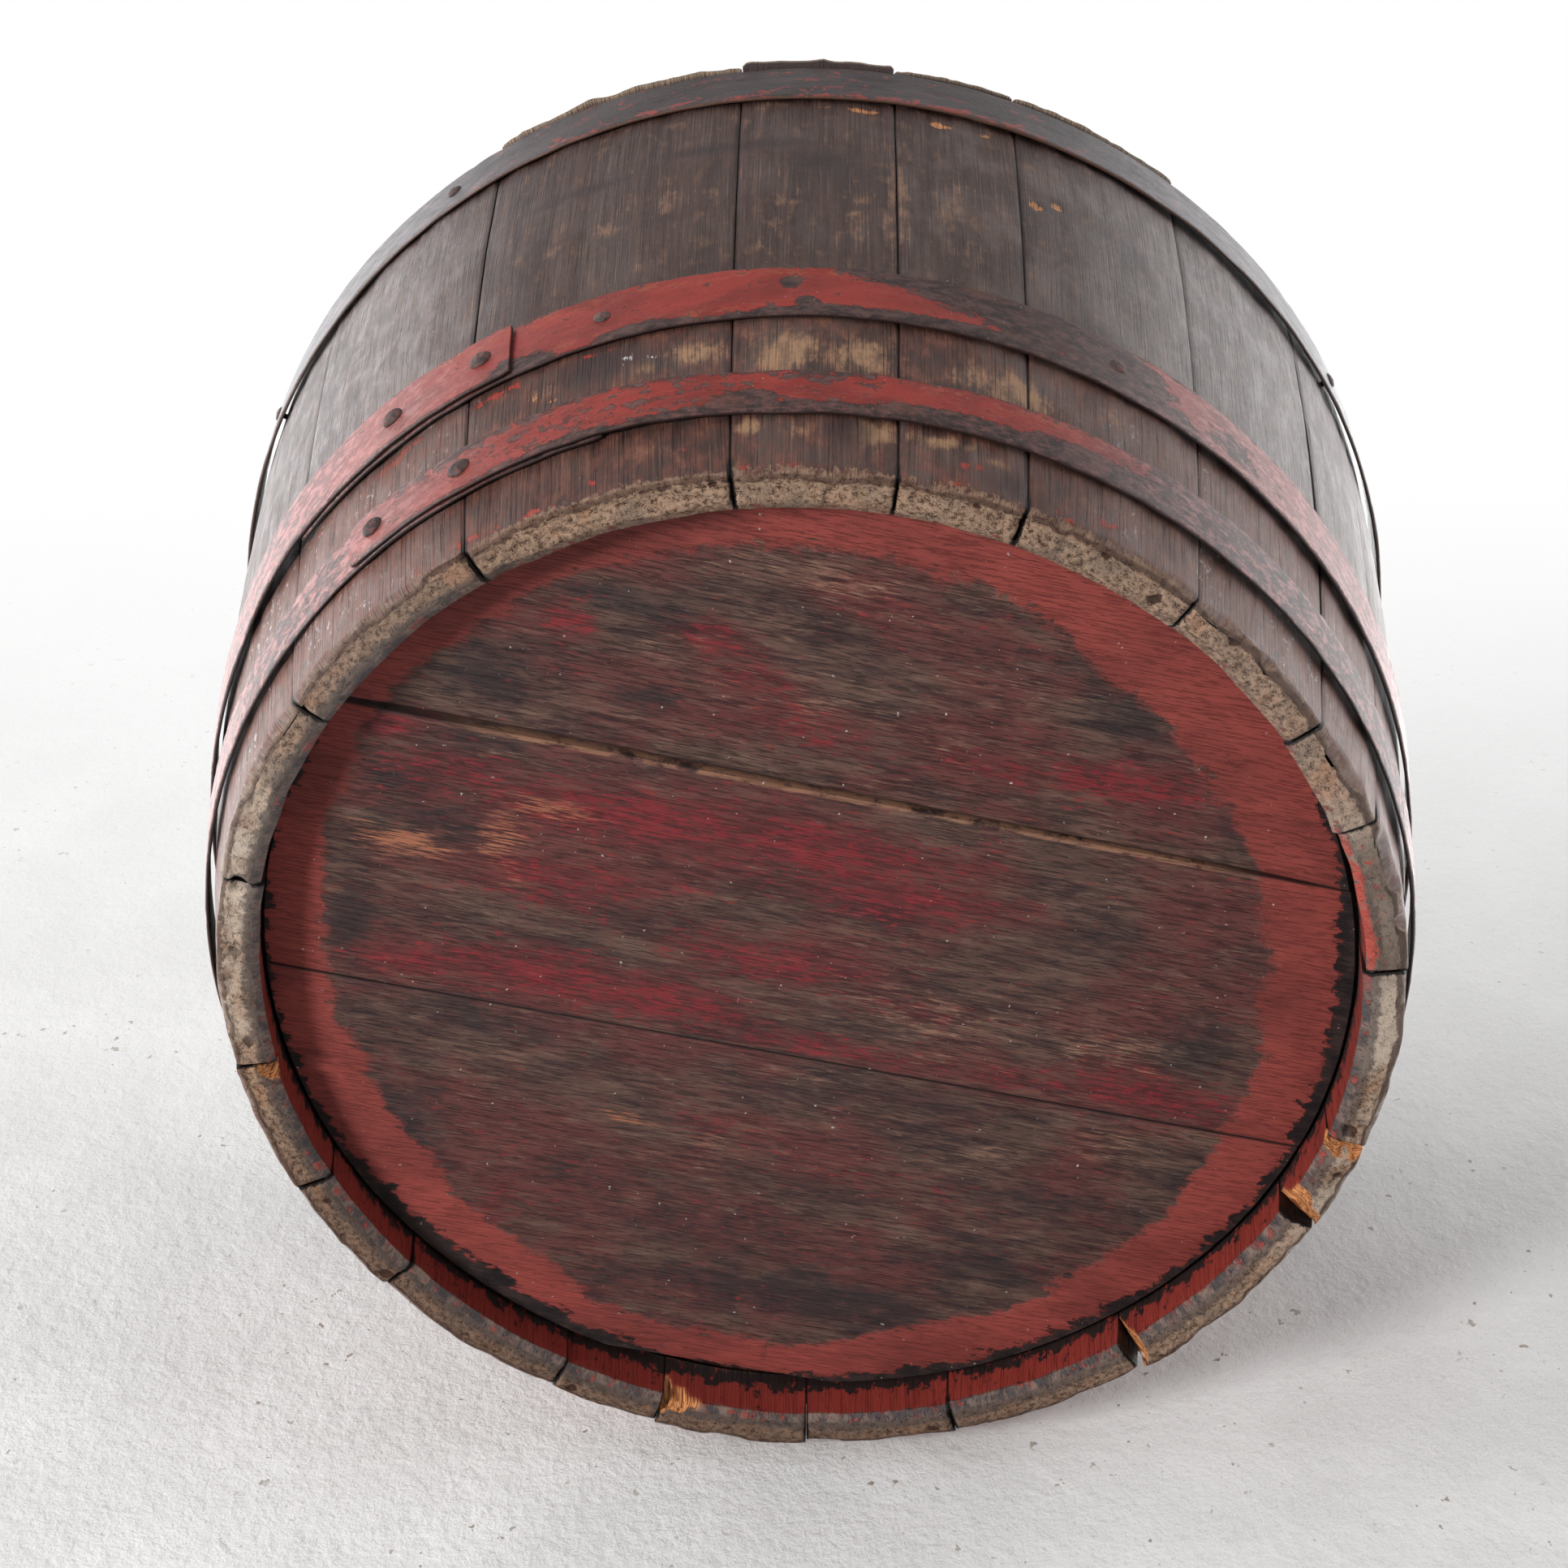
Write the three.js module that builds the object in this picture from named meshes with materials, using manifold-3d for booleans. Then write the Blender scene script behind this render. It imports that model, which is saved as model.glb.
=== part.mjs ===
// Half wine cask: the head end of a coopered oak cask, sawn across near the bilge.
// It stands on the chime, the ring of stave ends, with the open sawn end up.
// Millimetres, +Z up. The origin is the centre of the plane of the chime ends.
// Angles run anticlockwise from +X, seen from above.

import * as THREE from 'three';
import { mergeVertices } from 'three/addons/utils/BufferGeometryUtils.js';
import Module from 'manifold-3d';

const wasm = await Module();
wasm.setup();

const degrees = THREE.MathUtils.degToRad;

// ---- Driving dimensions -------------------------------------------------------------

// Staved body
const CHIME_RADIUS = 290; // outside of the staves at the chime end
const RIM_RADIUS = 326; // outside of the staves at the sawn end
const CASK_LENGTH = 385; // chime end to the sawn end
const STAVE_THICKNESS = 24;
const CHIME_OVAL = 0.025; // the old cask has gone out of round: radius varies by this share
const RIM_OVAL = 0.01;
const OVAL_AXIS = degrees(72); // direction of the long diameter
const STAVE_GAP = 0.4; // hairline between neighbours at the chime
const FIRST_JOINT = degrees(263.7);
// Stave widths round the outside of the chime, anticlockwise from the first joint.
const STAVE_WIDTHS = [
  70, 57, 88, 90, 62, 92, 113, 58, 130, 105,
  80, 82, 60, 113, 78, 85, 118, 107, 112, 120,
];
// How far each sawn end stands above (or below) the nominal length.
const SAWN_END_RISE = [3, 1, 0, 1.5, -1, 2, 0, 2.5, 1, -0.5, 3, 0.5, 2, -1, 1, 2.5, 0, 1.5, -1, 0];

// Chime and croze
const CHIME_END_WIDTH = 14.5; // flat end grain the cask stands on
const CHIME_BEVEL_HEIGHT = 5; // bevel from the end grain to the wall inside the chime
const CHIME_THICKNESS = 21; // stave thickness at the top of that bevel
const CHIME_WALL_THICKNESS = 23; // stave thickness just below the croze
const CROZE_LOW = 35; // groove that holds the head
const CROZE_HIGH = 40.5;
const CROZE_DEPTH = 6.5;

// Head
const HEAD_FACE = 27; // height of the outer face above the chime ends
const HEAD_THICKNESS = 22;
const HEAD_EDGE_CLEARANCE = 0.6;
const HEAD_EDGE_LOW = 35.8; // the thin edge that sits in the croze
const HEAD_EDGE_HIGH = 39.7;
const HEAD_EDGE_TAPER = 0.3; // the edge thickens by this much on each side where it meets the bevels
const HEAD_FACE_MARGIN = 16.5; // the outer bevel's width in from the head's edge
const HEAD_BACK_MARGIN = 14.5;
const HEAD_JOINT_ANGLE = degrees(13); // the boards run at this angle to X
const UPPER_JOINT_OFFSET = -112; // joint lines, measured square to the boards
const LOWER_JOINT_OFFSET = 47;
const UPPER_JOINT_OPENING = degrees(0.26); // the upper joint has opened like a wedge
const HEAD_JOINT_GAP = 0.4;

// Head dowels
const DOWEL_RADIUS = 5;
const DOWEL_LENGTH = 56;
const DOWEL_CLEARANCE = 0.4;
const DOWEL_SPACING = 220;

// Hoops: flat iron strip, one layer all round and two where the ends are riveted together
const HOOP_THICKNESS = 2.2;
const HOOP_STEP = degrees(5);
const HOOP_LAP = degrees(25);
const HOOP_RISE = degrees(15); // length over which the strip climbs onto its own end
const HOOP_FIT = 0.6; // gap between hoop and wood where they bear
const LAYER_GAP = 0.4;

// end: angle of the visible strip end. turn: +1 where the upper layer ends going anticlockwise.
const HOOPS = [
  {
    name: 'quarter_hoop', low: 38, high: 69, oval: 0.016, end: 228, turn: -1,
    rivets: [230.8, 240.2], nails: [],
  },
  {
    name: 'bilge_hoop', low: 113, high: 155, oval: 0.0145, end: 244.5, turn: 1,
    rivets: [232.4, 241.8], nails: [252.9, 297, 88],
  },
  {
    name: 'rim_hoop', low: 342, high: 382, oval: 0.003, end: 112, turn: 1,
    rivets: [99, 108.5], nails: [235.1, 205, 331],
  },
];

// Fasteners
const RIVET_HEAD_RADIUS = 5.6;
const RIVET_HEAD_HEIGHT = 3;
const RIVET_SHANK_RADIUS = 2.9;
const NAIL_HEAD_RADIUS = 4.2;
const NAIL_HEAD_HEIGHT = 1.6;
const NAIL_SHANK_RADIUS = 1.5;
const NAIL_DEPTH = 17; // how far a nail goes into a stave
const FASTENER_CLEARANCE = 0.4;
const ROUND_SEGMENTS = 12;

// ---- Shape of the body --------------------------------------------------------------

// Outside radius of the wood at a height, before it went out of round.
function woodRadius(z) {
  const fall = (CASK_LENGTH - z) / CASK_LENGTH;
  return RIM_RADIUS - (RIM_RADIUS - CHIME_RADIUS) * fall * fall;
}

function woodOval(z) {
  return THREE.MathUtils.lerp(CHIME_OVAL, RIM_OVAL, z / CASK_LENGTH);
}

function ovalFactor(oval, angle) {
  return 1 + oval * Math.cos(2 * (angle - OVAL_AXIS));
}

const CROZE_RADIUS = woodRadius(CROZE_LOW) - STAVE_THICKNESS + CROZE_DEPTH;

// ---- Solids -------------------------------------------------------------------------

function weld(geometry) {
  geometry.deleteAttribute('normal');
  geometry.deleteAttribute('uv');
  return mergeVertices(geometry);
}

// Sweeps a closed (radius, height) outline about Z. place() gives each point's final radius.
function sweep(outline, from, to, steps, place) {
  const shape = new THREE.Shape(outline.map(([r, z]) => new THREE.Vector2(r, z)));
  const depth = to - from;
  const geometry = new THREE.ExtrudeGeometry(shape, { depth, steps, bevelEnabled: false });
  const points = geometry.attributes.position;
  for (let i = 0; i < points.count; i++) {
    const z = points.getY(i);
    const angle = to - points.getZ(i);
    const radius = place(points.getX(i), z, angle);
    points.setXYZ(i, radius * Math.cos(angle), radius * Math.sin(angle), z);
  }
  return weld(geometry);
}

function toSolid(geometry) {
  const vertProperties = new Float32Array(geometry.attributes.position.array);
  const triVerts = new Uint32Array(geometry.index.array);
  return new wasm.Manifold(new wasm.Mesh({ numProp: 3, vertProperties, triVerts }));
}

function toGeometry(solid) {
  const mesh = solid.getMesh();
  const geometry = new THREE.BufferGeometry();
  geometry.setAttribute('position', new THREE.BufferAttribute(mesh.vertProperties, 3));
  geometry.setIndex(new THREE.BufferAttribute(mesh.triVerts, 1));
  return geometry;
}

// A cylinder along its own Y axis, welded so that it can cut another solid.
function rod(radius, length) {
  return weld(new THREE.CylinderGeometry(radius, radius, length, ROUND_SEGMENTS));
}

// ---- Materials ----------------------------------------------------------------------

const agedOak = () => new THREE.MeshStandardMaterial({
  color: 0x5a4b46, roughness: 0.8, metalness: 0,
});
const headOak = () => new THREE.MeshStandardMaterial({
  color: 0x52393a, roughness: 0.75, metalness: 0,
});
const cleanOak = () => new THREE.MeshStandardMaterial({
  color: 0xa67c52, roughness: 0.7, metalness: 0,
});
const redPaintedIron = () => new THREE.MeshStandardMaterial({
  color: 0x8a4544, roughness: 0.6, metalness: 0.2,
});
const blackIron = () => new THREE.MeshStandardMaterial({
  color: 0x4b484c, roughness: 0.55, metalness: 0.6,
});
const rustyIron = () => new THREE.MeshStandardMaterial({
  color: 0x4a3b36, roughness: 0.7, metalness: 0.5,
});

const cask = new THREE.Group();

function addMesh(name, geometry, material) {
  const mesh = new THREE.Mesh(geometry, material);
  mesh.name = name;
  cask.add(mesh);
  return mesh;
}

// ---- Hoops --------------------------------------------------------------------------

// Inside radius of a hoop: it bears on the wood at the long diameter and stands off elsewhere.
function hoopInside(hoop, z) {
  return (woodRadius(z) * (1 + woodOval(z)) + HOOP_FIT) / (1 + hoop.oval);
}

function hoopGeometry(hoop) {
  const edge = [hoop.low, hoop.high].map((z) => [hoopInside(hoop, z), z]);
  const [low, high] = edge;
  const outline = [
    low, [low[0] + HOOP_THICKNESS, low[1]], [high[0] + HOOP_THICKNESS, high[1]], high,
  ];
  const whole = 2 * Math.PI;
  const turns = whole + HOOP_LAP;
  const upperEnd = degrees(hoop.end);
  const from = hoop.turn > 0 ? upperEnd - turns : upperEnd;
  const place = (r, z, angle) => {
    const along = hoop.turn > 0 ? angle - from : from + turns - angle;
    const climb = THREE.MathUtils.smoothstep(along, whole - HOOP_RISE, whole);
    return r * ovalFactor(hoop.oval, angle) + climb * (HOOP_THICKNESS + LAYER_GAP);
  };
  return sweep(outline, from, from + turns, Math.round(turns / HOOP_STEP), place);
}

// Where a fastener goes through a hoop: a point on the hoop's outer face, with the outward
// direction square to the sloping strip.
function hoopSpot(hoop, angleDegrees, layers) {
  const angle = degrees(angleDegrees);
  const z = (hoop.low + hoop.high) / 2;
  const low = hoopInside(hoop, hoop.low);
  const high = hoopInside(hoop, hoop.high);
  const slope = Math.atan2(high - low, hoop.high - hoop.low);
  const thickness = layers * HOOP_THICKNESS + (layers - 1) * LAYER_GAP;
  const radius = (low + high) / 2 * ovalFactor(hoop.oval, angle) + thickness;
  const outward = new THREE.Vector3(
    Math.cos(angle) * Math.cos(slope), Math.sin(angle) * Math.cos(slope), -Math.sin(slope),
  );
  const point = new THREE.Vector3(radius * Math.cos(angle), radius * Math.sin(angle), z);
  return { point, outward, thickness, angle };
}

// Turns a shape's own +Y axis to point outward, and puts its origin at the spot.
function placeAt(object, spot) {
  object.position.copy(spot.point);
  object.quaternion.setFromUnitVectors(new THREE.Vector3(0, 1, 0), spot.outward);
}

// A round hole from just outside the spot to the given depth below it.
function holeAt(spot, radius, depth) {
  const over = HOOP_THICKNESS * 2;
  const geometry = rod(radius, depth + over);
  geometry.translate(0, (over - depth) / 2, 0);
  const holder = new THREE.Object3D();
  placeAt(holder, spot);
  holder.updateMatrix();
  return toSolid(geometry.applyMatrix4(holder.matrix));
}

// A domed head on a round shank: the head's underside is at y = 0.
function fastenerGeometry(headRadius, headHeight, shankRadius, shankLength) {
  const seat = FASTENER_CLEARANCE;
  const profile = [
    [0, -shankLength], [shankRadius, -shankLength], [shankRadius, seat], [headRadius, seat],
    [headRadius * 0.9, seat + headHeight * 0.45], [headRadius * 0.6, seat + headHeight * 0.85],
    [0, seat + headHeight],
  ];
  const points = profile.map(([x, y]) => new THREE.Vector2(x, y));
  return new THREE.LatheGeometry(points, ROUND_SEGMENTS);
}

const nailHoles = []; // holes the nails need in the staves

function addHoop(hoop) {
  const painted = hoop.name !== 'rim_hoop';
  let strip = toSolid(hoopGeometry(hoop));
  hoop.rivets.forEach((at, i) => {
    const spot = hoopSpot(hoop, at, 2);
    const hole = holeAt(spot, RIVET_SHANK_RADIUS + FASTENER_CLEARANCE, spot.thickness * 2);
    strip = strip.subtract(hole);
    const shape = fastenerGeometry(
      RIVET_HEAD_RADIUS, RIVET_HEAD_HEIGHT, RIVET_SHANK_RADIUS, spot.thickness,
    );
    placeAt(addMesh(`${hoop.name}_rivet_${i + 1}`, shape, rustyIron()), spot);
  });
  hoop.nails.forEach((at, i) => {
    const spot = hoopSpot(hoop, at, 1);
    const depth = spot.thickness + NAIL_DEPTH;
    const hole = holeAt(spot, NAIL_SHANK_RADIUS + FASTENER_CLEARANCE, depth + 2);
    strip = strip.subtract(hole);
    nailHoles.push({ hole, angle: spot.angle });
    const shape = fastenerGeometry(
      NAIL_HEAD_RADIUS, NAIL_HEAD_HEIGHT, NAIL_SHANK_RADIUS, depth,
    );
    placeAt(addMesh(`${hoop.name}_nail_${i + 1}`, shape, rustyIron()), spot);
  });
  addMesh(hoop.name, toGeometry(strip), painted ? redPaintedIron() : blackIron());
}

HOOPS.forEach(addHoop);

// ---- Staves -------------------------------------------------------------------------

const STAVE_STEP = degrees(5);
const OUTER_HEIGHTS = [0, ...HOOPS.flatMap((hoop) => [hoop.low, hoop.high]), 230, 290];
OUTER_HEIGHTS.sort((a, b) => a - b);
const INNER_HEIGHTS = [270, 150];

function staveOutline(sawnEnd) {
  const inside = (z) => woodRadius(z) - STAVE_THICKNESS;
  return [
    ...[...OUTER_HEIGHTS, sawnEnd].map((z) => [woodRadius(z), z]),
    ...[sawnEnd, ...INNER_HEIGHTS, CROZE_HIGH].map((z) => [inside(z), z]),
    [CROZE_RADIUS, CROZE_HIGH],
    [CROZE_RADIUS, CROZE_LOW],
    [woodRadius(CROZE_LOW) - CHIME_WALL_THICKNESS, CROZE_LOW],
    [CHIME_RADIUS - CHIME_THICKNESS, CHIME_BEVEL_HEIGHT],
    [CHIME_RADIUS - CHIME_END_WIDTH, 0],
  ];
}

function addStave(index, from, to) {
  const halfGap = STAVE_GAP / 2 / (CHIME_RADIUS - STAVE_THICKNESS);
  const outline = staveOutline(CASK_LENGTH + SAWN_END_RISE[index]);
  const steps = Math.ceil((to - from) / STAVE_STEP);
  const place = (r, z, angle) => r * ovalFactor(woodOval(z), angle);
  let stave = toSolid(sweep(outline, from + halfGap, to - halfGap, steps, place));
  for (const { hole, angle } of nailHoles) {
    const past = THREE.MathUtils.euclideanModulo(angle - from, 2 * Math.PI);
    if (past < to - from) stave = stave.subtract(hole);
  }
  addMesh(`stave_${String(index + 1).padStart(2, '0')}`, toGeometry(stave), agedOak());
}

const CIRCUMFERENCE = STAVE_WIDTHS.reduce((sum, width) => sum + width, 0);
let joint = FIRST_JOINT;
STAVE_WIDTHS.forEach((width, index) => {
  const next = joint + 2 * Math.PI * width / CIRCUMFERENCE;
  addStave(index, joint, next);
  joint = next;
});

// ---- Head ---------------------------------------------------------------------------

const HEAD_SEGMENTS = 80;

// The whole head as a stack of oval rings: outer face, bevel, thin edge, bevel, inner face.
function headDisc() {
  const edge = CROZE_RADIUS - HEAD_EDGE_CLEARANCE;
  const wall = woodRadius(CROZE_LOW) - STAVE_THICKNESS - HEAD_EDGE_CLEARANCE;
  const levels = [
    [edge - HEAD_FACE_MARGIN, HEAD_FACE],
    [wall, HEAD_EDGE_LOW - HEAD_EDGE_TAPER],
    [edge, HEAD_EDGE_LOW],
    [edge, HEAD_EDGE_HIGH],
    [wall, HEAD_EDGE_HIGH + HEAD_EDGE_TAPER],
    [edge - HEAD_BACK_MARGIN, HEAD_FACE + HEAD_THICKNESS],
  ];
  const positions = [];
  for (const [radius, z] of levels) {
    for (let i = 0; i < HEAD_SEGMENTS; i++) {
      const angle = 2 * Math.PI * i / HEAD_SEGMENTS;
      const r = radius * ovalFactor(woodOval(z), angle);
      positions.push(r * Math.cos(angle), r * Math.sin(angle), z);
    }
  }
  const index = [];
  const top = (levels.length - 1) * HEAD_SEGMENTS;
  for (let i = 1; i < HEAD_SEGMENTS - 1; i++) {
    index.push(0, i + 1, i);
    index.push(top, top + i, top + i + 1);
  }
  for (let level = 0; level < levels.length - 1; level++) {
    for (let i = 0; i < HEAD_SEGMENTS; i++) {
      const a = level * HEAD_SEGMENTS + i;
      const b = level * HEAD_SEGMENTS + (i + 1) % HEAD_SEGMENTS;
      const c = a + HEAD_SEGMENTS;
      const d = b + HEAD_SEGMENTS;
      index.push(a, b, d, a, d, c);
    }
  }
  const geometry = new THREE.BufferGeometry();
  geometry.setAttribute('position', new THREE.Float32BufferAttribute(positions, 3));
  geometry.setIndex(index);
  return toSolid(geometry);
}

// Everything between two lines that run along the boards, given square to them.
// tilt turns the block about the end of its low side, to open that joint like a wedge.
function boardBlock(low, high, tilt = 0) {
  const length = 3 * CHIME_RADIUS;
  const block = new THREE.BoxGeometry(length, high - low, 4 * HEAD_THICKNESS);
  block.translate(0, (low + high) / 2, HEAD_FACE + HEAD_THICKNESS / 2);
  const hinge = [CHIME_RADIUS, tilt < 0 ? low : high];
  block.translate(-hinge[0], -hinge[1], 0);
  block.rotateZ(tilt);
  block.translate(hinge[0], hinge[1], 0);
  block.rotateZ(HEAD_JOINT_ANGLE);
  return toSolid(weld(block));
}

const BEYOND = 2 * CHIME_RADIUS;
const halfJoint = HEAD_JOINT_GAP / 2;
const disc = headDisc();
const boards = {
  head_board_top: disc.intersect(
    boardBlock(-BEYOND, UPPER_JOINT_OFFSET - halfJoint, UPPER_JOINT_OPENING),
  ),
  head_board_middle: disc.intersect(
    boardBlock(UPPER_JOINT_OFFSET + halfJoint, LOWER_JOINT_OFFSET - halfJoint),
  ),
  head_board_bottom: disc.intersect(boardBlock(LOWER_JOINT_OFFSET + halfJoint, BEYOND)),
};

// Two hidden dowels across each joint, halfway through the boards.
let dowelNumber = 0;
for (const offset of [UPPER_JOINT_OFFSET, LOWER_JOINT_OFFSET]) {
  for (const side of [-1, 1]) {
    const place = new THREE.Matrix4().makeRotationZ(HEAD_JOINT_ANGLE);
    place.multiply(new THREE.Matrix4().makeTranslation(
      side * DOWEL_SPACING / 2, offset, HEAD_FACE + HEAD_THICKNESS / 2,
    ));
    const socket = rod(DOWEL_RADIUS + DOWEL_CLEARANCE, DOWEL_LENGTH + 4 * DOWEL_CLEARANCE);
    const hole = toSolid(socket.applyMatrix4(place));
    for (const name of Object.keys(boards)) boards[name] = boards[name].subtract(hole);
    dowelNumber += 1;
    const dowel = addMesh(`head_dowel_${dowelNumber}`, rod(DOWEL_RADIUS, DOWEL_LENGTH), cleanOak());
    dowel.applyMatrix4(place);
  }
}
for (const [name, board] of Object.entries(boards)) addMesh(name, toGeometry(board), headOak());

export default cask;
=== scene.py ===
"""Looks of the half wine cask: worn oak staves, a boarded head with old red paint, riveted hoops.

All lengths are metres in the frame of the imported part: +Z up the cask's axis, chime ends at z = 0.
Azimuths are degrees anticlockwise from +X, seen from above.
"""

import math

import bpy
import numpy as np
from mathutils import Matrix, Vector


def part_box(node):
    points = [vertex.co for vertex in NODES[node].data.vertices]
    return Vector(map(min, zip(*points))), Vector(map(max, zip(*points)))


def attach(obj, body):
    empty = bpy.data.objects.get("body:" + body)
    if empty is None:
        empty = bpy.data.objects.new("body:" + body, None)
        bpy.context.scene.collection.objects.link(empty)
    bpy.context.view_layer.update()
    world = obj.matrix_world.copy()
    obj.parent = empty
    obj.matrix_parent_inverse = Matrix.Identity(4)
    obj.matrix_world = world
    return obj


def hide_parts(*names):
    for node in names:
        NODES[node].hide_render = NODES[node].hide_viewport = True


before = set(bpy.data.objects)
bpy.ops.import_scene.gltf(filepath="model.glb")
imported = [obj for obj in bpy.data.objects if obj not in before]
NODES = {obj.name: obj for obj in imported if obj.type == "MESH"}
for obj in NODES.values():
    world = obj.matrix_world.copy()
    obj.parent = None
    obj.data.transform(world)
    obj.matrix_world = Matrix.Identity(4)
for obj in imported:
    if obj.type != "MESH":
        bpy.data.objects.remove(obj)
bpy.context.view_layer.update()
MM = 0.001
THICKNESS = 24 * MM
STAVES = sorted(name for name in NODES if name.startswith("stave_"))
HOOPS = ("quarter_hoop", "bilge_hoop", "rim_hoop")
BOARDS = ("head_board_top", "head_board_middle", "head_board_bottom")


# ---- Reading the frame --------------------------------------------------------------------

def vertices(name):
    """A CAD node's vertices as an (n, 3) array."""
    mesh = NODES[name].data
    flat = np.zeros(len(mesh.vertices) * 3, np.float32)
    mesh.vertices.foreach_get("co", flat)
    return flat.reshape(-1, 3).astype(float)


def azimuth(points):
    return np.degrees(np.arctan2(points[..., 1], points[..., 0]))


def box_azimuth(name):
    """Azimuth of the middle of a CAD node's box."""
    low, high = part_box(name)
    return math.degrees(math.atan2(low.y + high.y, low.x + high.x))


def turn_gap(az, centre):
    """Signed angle from centre to az, in degrees."""
    return (az - centre + 180.0) % 360.0 - 180.0


def span(points, middle):
    """Lowest and highest azimuth of the points, counted on from the middle one."""
    turned = turn_gap(azimuth(points), middle)
    return middle + turned.min(), middle + turned.max()


def wave_terms(az, z):
    """The terms that describe an oval body whose size and roundness change with height."""
    double = np.radians(2.0 * az)
    heights = [np.ones_like(z), z, z * z]
    waves = [h * w for w in (np.cos(double), np.sin(double)) for h in heights + [z ** 3]]
    return np.stack(heights + waves, axis=-1)


def fit_outside():
    """Fits the outside of the staved body to the CAD staves' outermost vertices."""
    rows = []
    for name in STAVES:
        points = vertices(name)
        radius = np.hypot(points[:, 0], points[:, 1])
        for z in np.unique(np.round(points[:, 2], 4)):
            level = np.abs(points[:, 2] - z) < 1e-4
            if np.ptp(radius[level]) > 0.5 * THICKNESS:      # not a row of inside corners
                rows.append(points[level & (radius > radius[level].max() - 1.5 * MM)])
    rows = np.concatenate(rows)
    terms = wave_terms(azimuth(rows), rows[:, 2])
    return np.linalg.lstsq(terms, np.hypot(rows[:, 0], rows[:, 1]), rcond=None)[0]


OUTSIDE = fit_outside()


def outside(az, z):
    """Radius of the outside of the wood."""
    return wave_terms(az, z) @ OUTSIDE


# ---- Numbers without a random module ------------------------------------------------------

def hashed(x, y, z, seed):
    """A repeatable number from 0 to 1 for each whole-number cell."""
    n = (x * 73856093) ^ (y * 19349663) ^ (z * 83492791) ^ (seed * 2654435761)
    n = (n ^ (n >> 13)) * 1274126177 & 0x7FFFFFFF
    n = (n ^ (n >> 16)) & 0xFFFFF
    return n / float(0xFFFFF)


def noise(points, scale, seed=0):
    """Smooth noise from -1 to 1. scale is cells per metre, one number or one for each axis."""
    p = points * np.asarray(scale, float) + 1000.0
    cell = np.floor(p).astype(np.int64)
    f = p - cell
    f = f * f * (3.0 - 2.0 * f)
    total = np.zeros(p.shape[:-1])
    for corner in range(8):
        ahead = (corner & 1, corner >> 1 & 1, corner >> 2)
        weight = 1.0
        for axis in range(3):
            weight = weight * (f[..., axis] if ahead[axis] else 1 - f[..., axis])
        total += weight * hashed(*(cell[..., axis] + ahead[axis] for axis in range(3)), seed)
    return 2.0 * total - 1.0


def smooth(value, low, high):
    """0 below low, 1 above high, with a soft ramp between."""
    t = np.clip((value - low) / (high - low), 0.0, 1.0)
    return t * t * (3.0 - 2.0 * t)


def near(az, centre, full, none):
    """1 within full degrees of centre, 0 beyond none degrees."""
    return 1.0 - smooth(np.abs(turn_gap(az, centre)), full, none)


# ---- Mesh building ------------------------------------------------------------------------

SHARP_EDGE = math.radians(48)


def block_faces(shape):
    """The surface of an (i, j, k) lattice: lattice indices in use, and outward quads."""
    ids = np.arange(np.prod(shape)).reshape(shape)
    quads = []
    sides = ((ids[0], True), (ids[-1], False), (ids[:, 0], False),
             (ids[:, -1], True), (ids[:, :, 0], True), (ids[:, :, -1], False))
    for grid, flip in sides:
        a, b, c, d = grid[:-1, :-1], grid[1:, :-1], grid[1:, 1:], grid[:-1, 1:]
        order = (a, d, c, b) if flip else (a, b, c, d)
        quads.append(np.stack([part.ravel() for part in order], axis=1))
    quads = np.concatenate(quads)
    used, inverse = np.unique(quads, return_inverse=True)
    return used, inverse.reshape(quads.shape)


def new_piece(name, points, quads, values, slot):
    """Makes the visible piece for a CAD node, riding on the root body, with point attributes."""
    a, b, c = (points[quads[:, corner]] for corner in (0, 1, 2))
    if np.einsum("ij,ij->i", a, np.cross(b, c)).sum() < 0:
        quads = quads[:, ::-1]
    mesh = bpy.data.meshes.new("worn_" + name + "_mesh")
    mesh.vertices.add(len(points))
    mesh.vertices.foreach_set("co", points.astype(np.float32).ravel())
    mesh.loops.add(quads.size)
    mesh.loops.foreach_set("vertex_index", quads.astype(np.int32).ravel())
    mesh.polygons.add(len(quads))
    starts = np.arange(0, quads.size, quads.shape[1], dtype=np.int32)
    mesh.polygons.foreach_set("loop_start", starts)
    mesh.update(calc_edges=True)
    for key, value in values.items():
        kind, field = ("FLOAT_VECTOR", "vector") if value.ndim == 2 else ("FLOAT", "value")
        attribute = mesh.attributes.new(key, kind, "POINT")
        attribute.data.foreach_set(field, value.astype(np.float32).ravel())
    mesh.polygons.foreach_set("use_smooth", np.ones(len(mesh.polygons), bool))
    mesh.materials.append(LOOKS[slot])
    piece = bpy.data.objects.new("worn_" + name, mesh)
    bpy.context.scene.collection.objects.link(piece)
    piece.modifiers.new("sharp_edges", "EDGE_SPLIT").split_angle = SHARP_EDGE
    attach(piece, "root")
    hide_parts(name)


def lattice_piece(name, az, radius, z, values, slot):
    """Makes the piece for a CAD node from a lattice in azimuth, radius and height."""
    angle = np.radians(az)
    points = np.stack([radius * np.cos(angle), radius * np.sin(angle), z], axis=-1)
    skin_piece(name, points, values, slot)


def skin_piece(name, points, values, slot):
    """Makes the piece for a CAD node from the surface of a lattice of points."""
    used, quads = block_faces(points.shape[:3])
    values = {key: value.reshape(-1, *value.shape[3:])[used] for key, value in values.items()}
    new_piece(name, points.reshape(-1, 3)[used], quads, values, slot)


# ---- Staves -------------------------------------------------------------------------------

CHIME_END = 14.5 * MM      # flat end grain at the chime
BEVEL_HEIGHT = 5 * MM
BEVEL_DEPTH = 21 * MM      # stave thickness at the top of the bevel
WALL_DEPTH = 23 * MM       # stave thickness just below the croze
CROZE = (35 * MM, 40.5 * MM)
CROZE_CUT = 6.5 * MM
RIM_HOOP_TOP = 382.2 * MM

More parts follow.
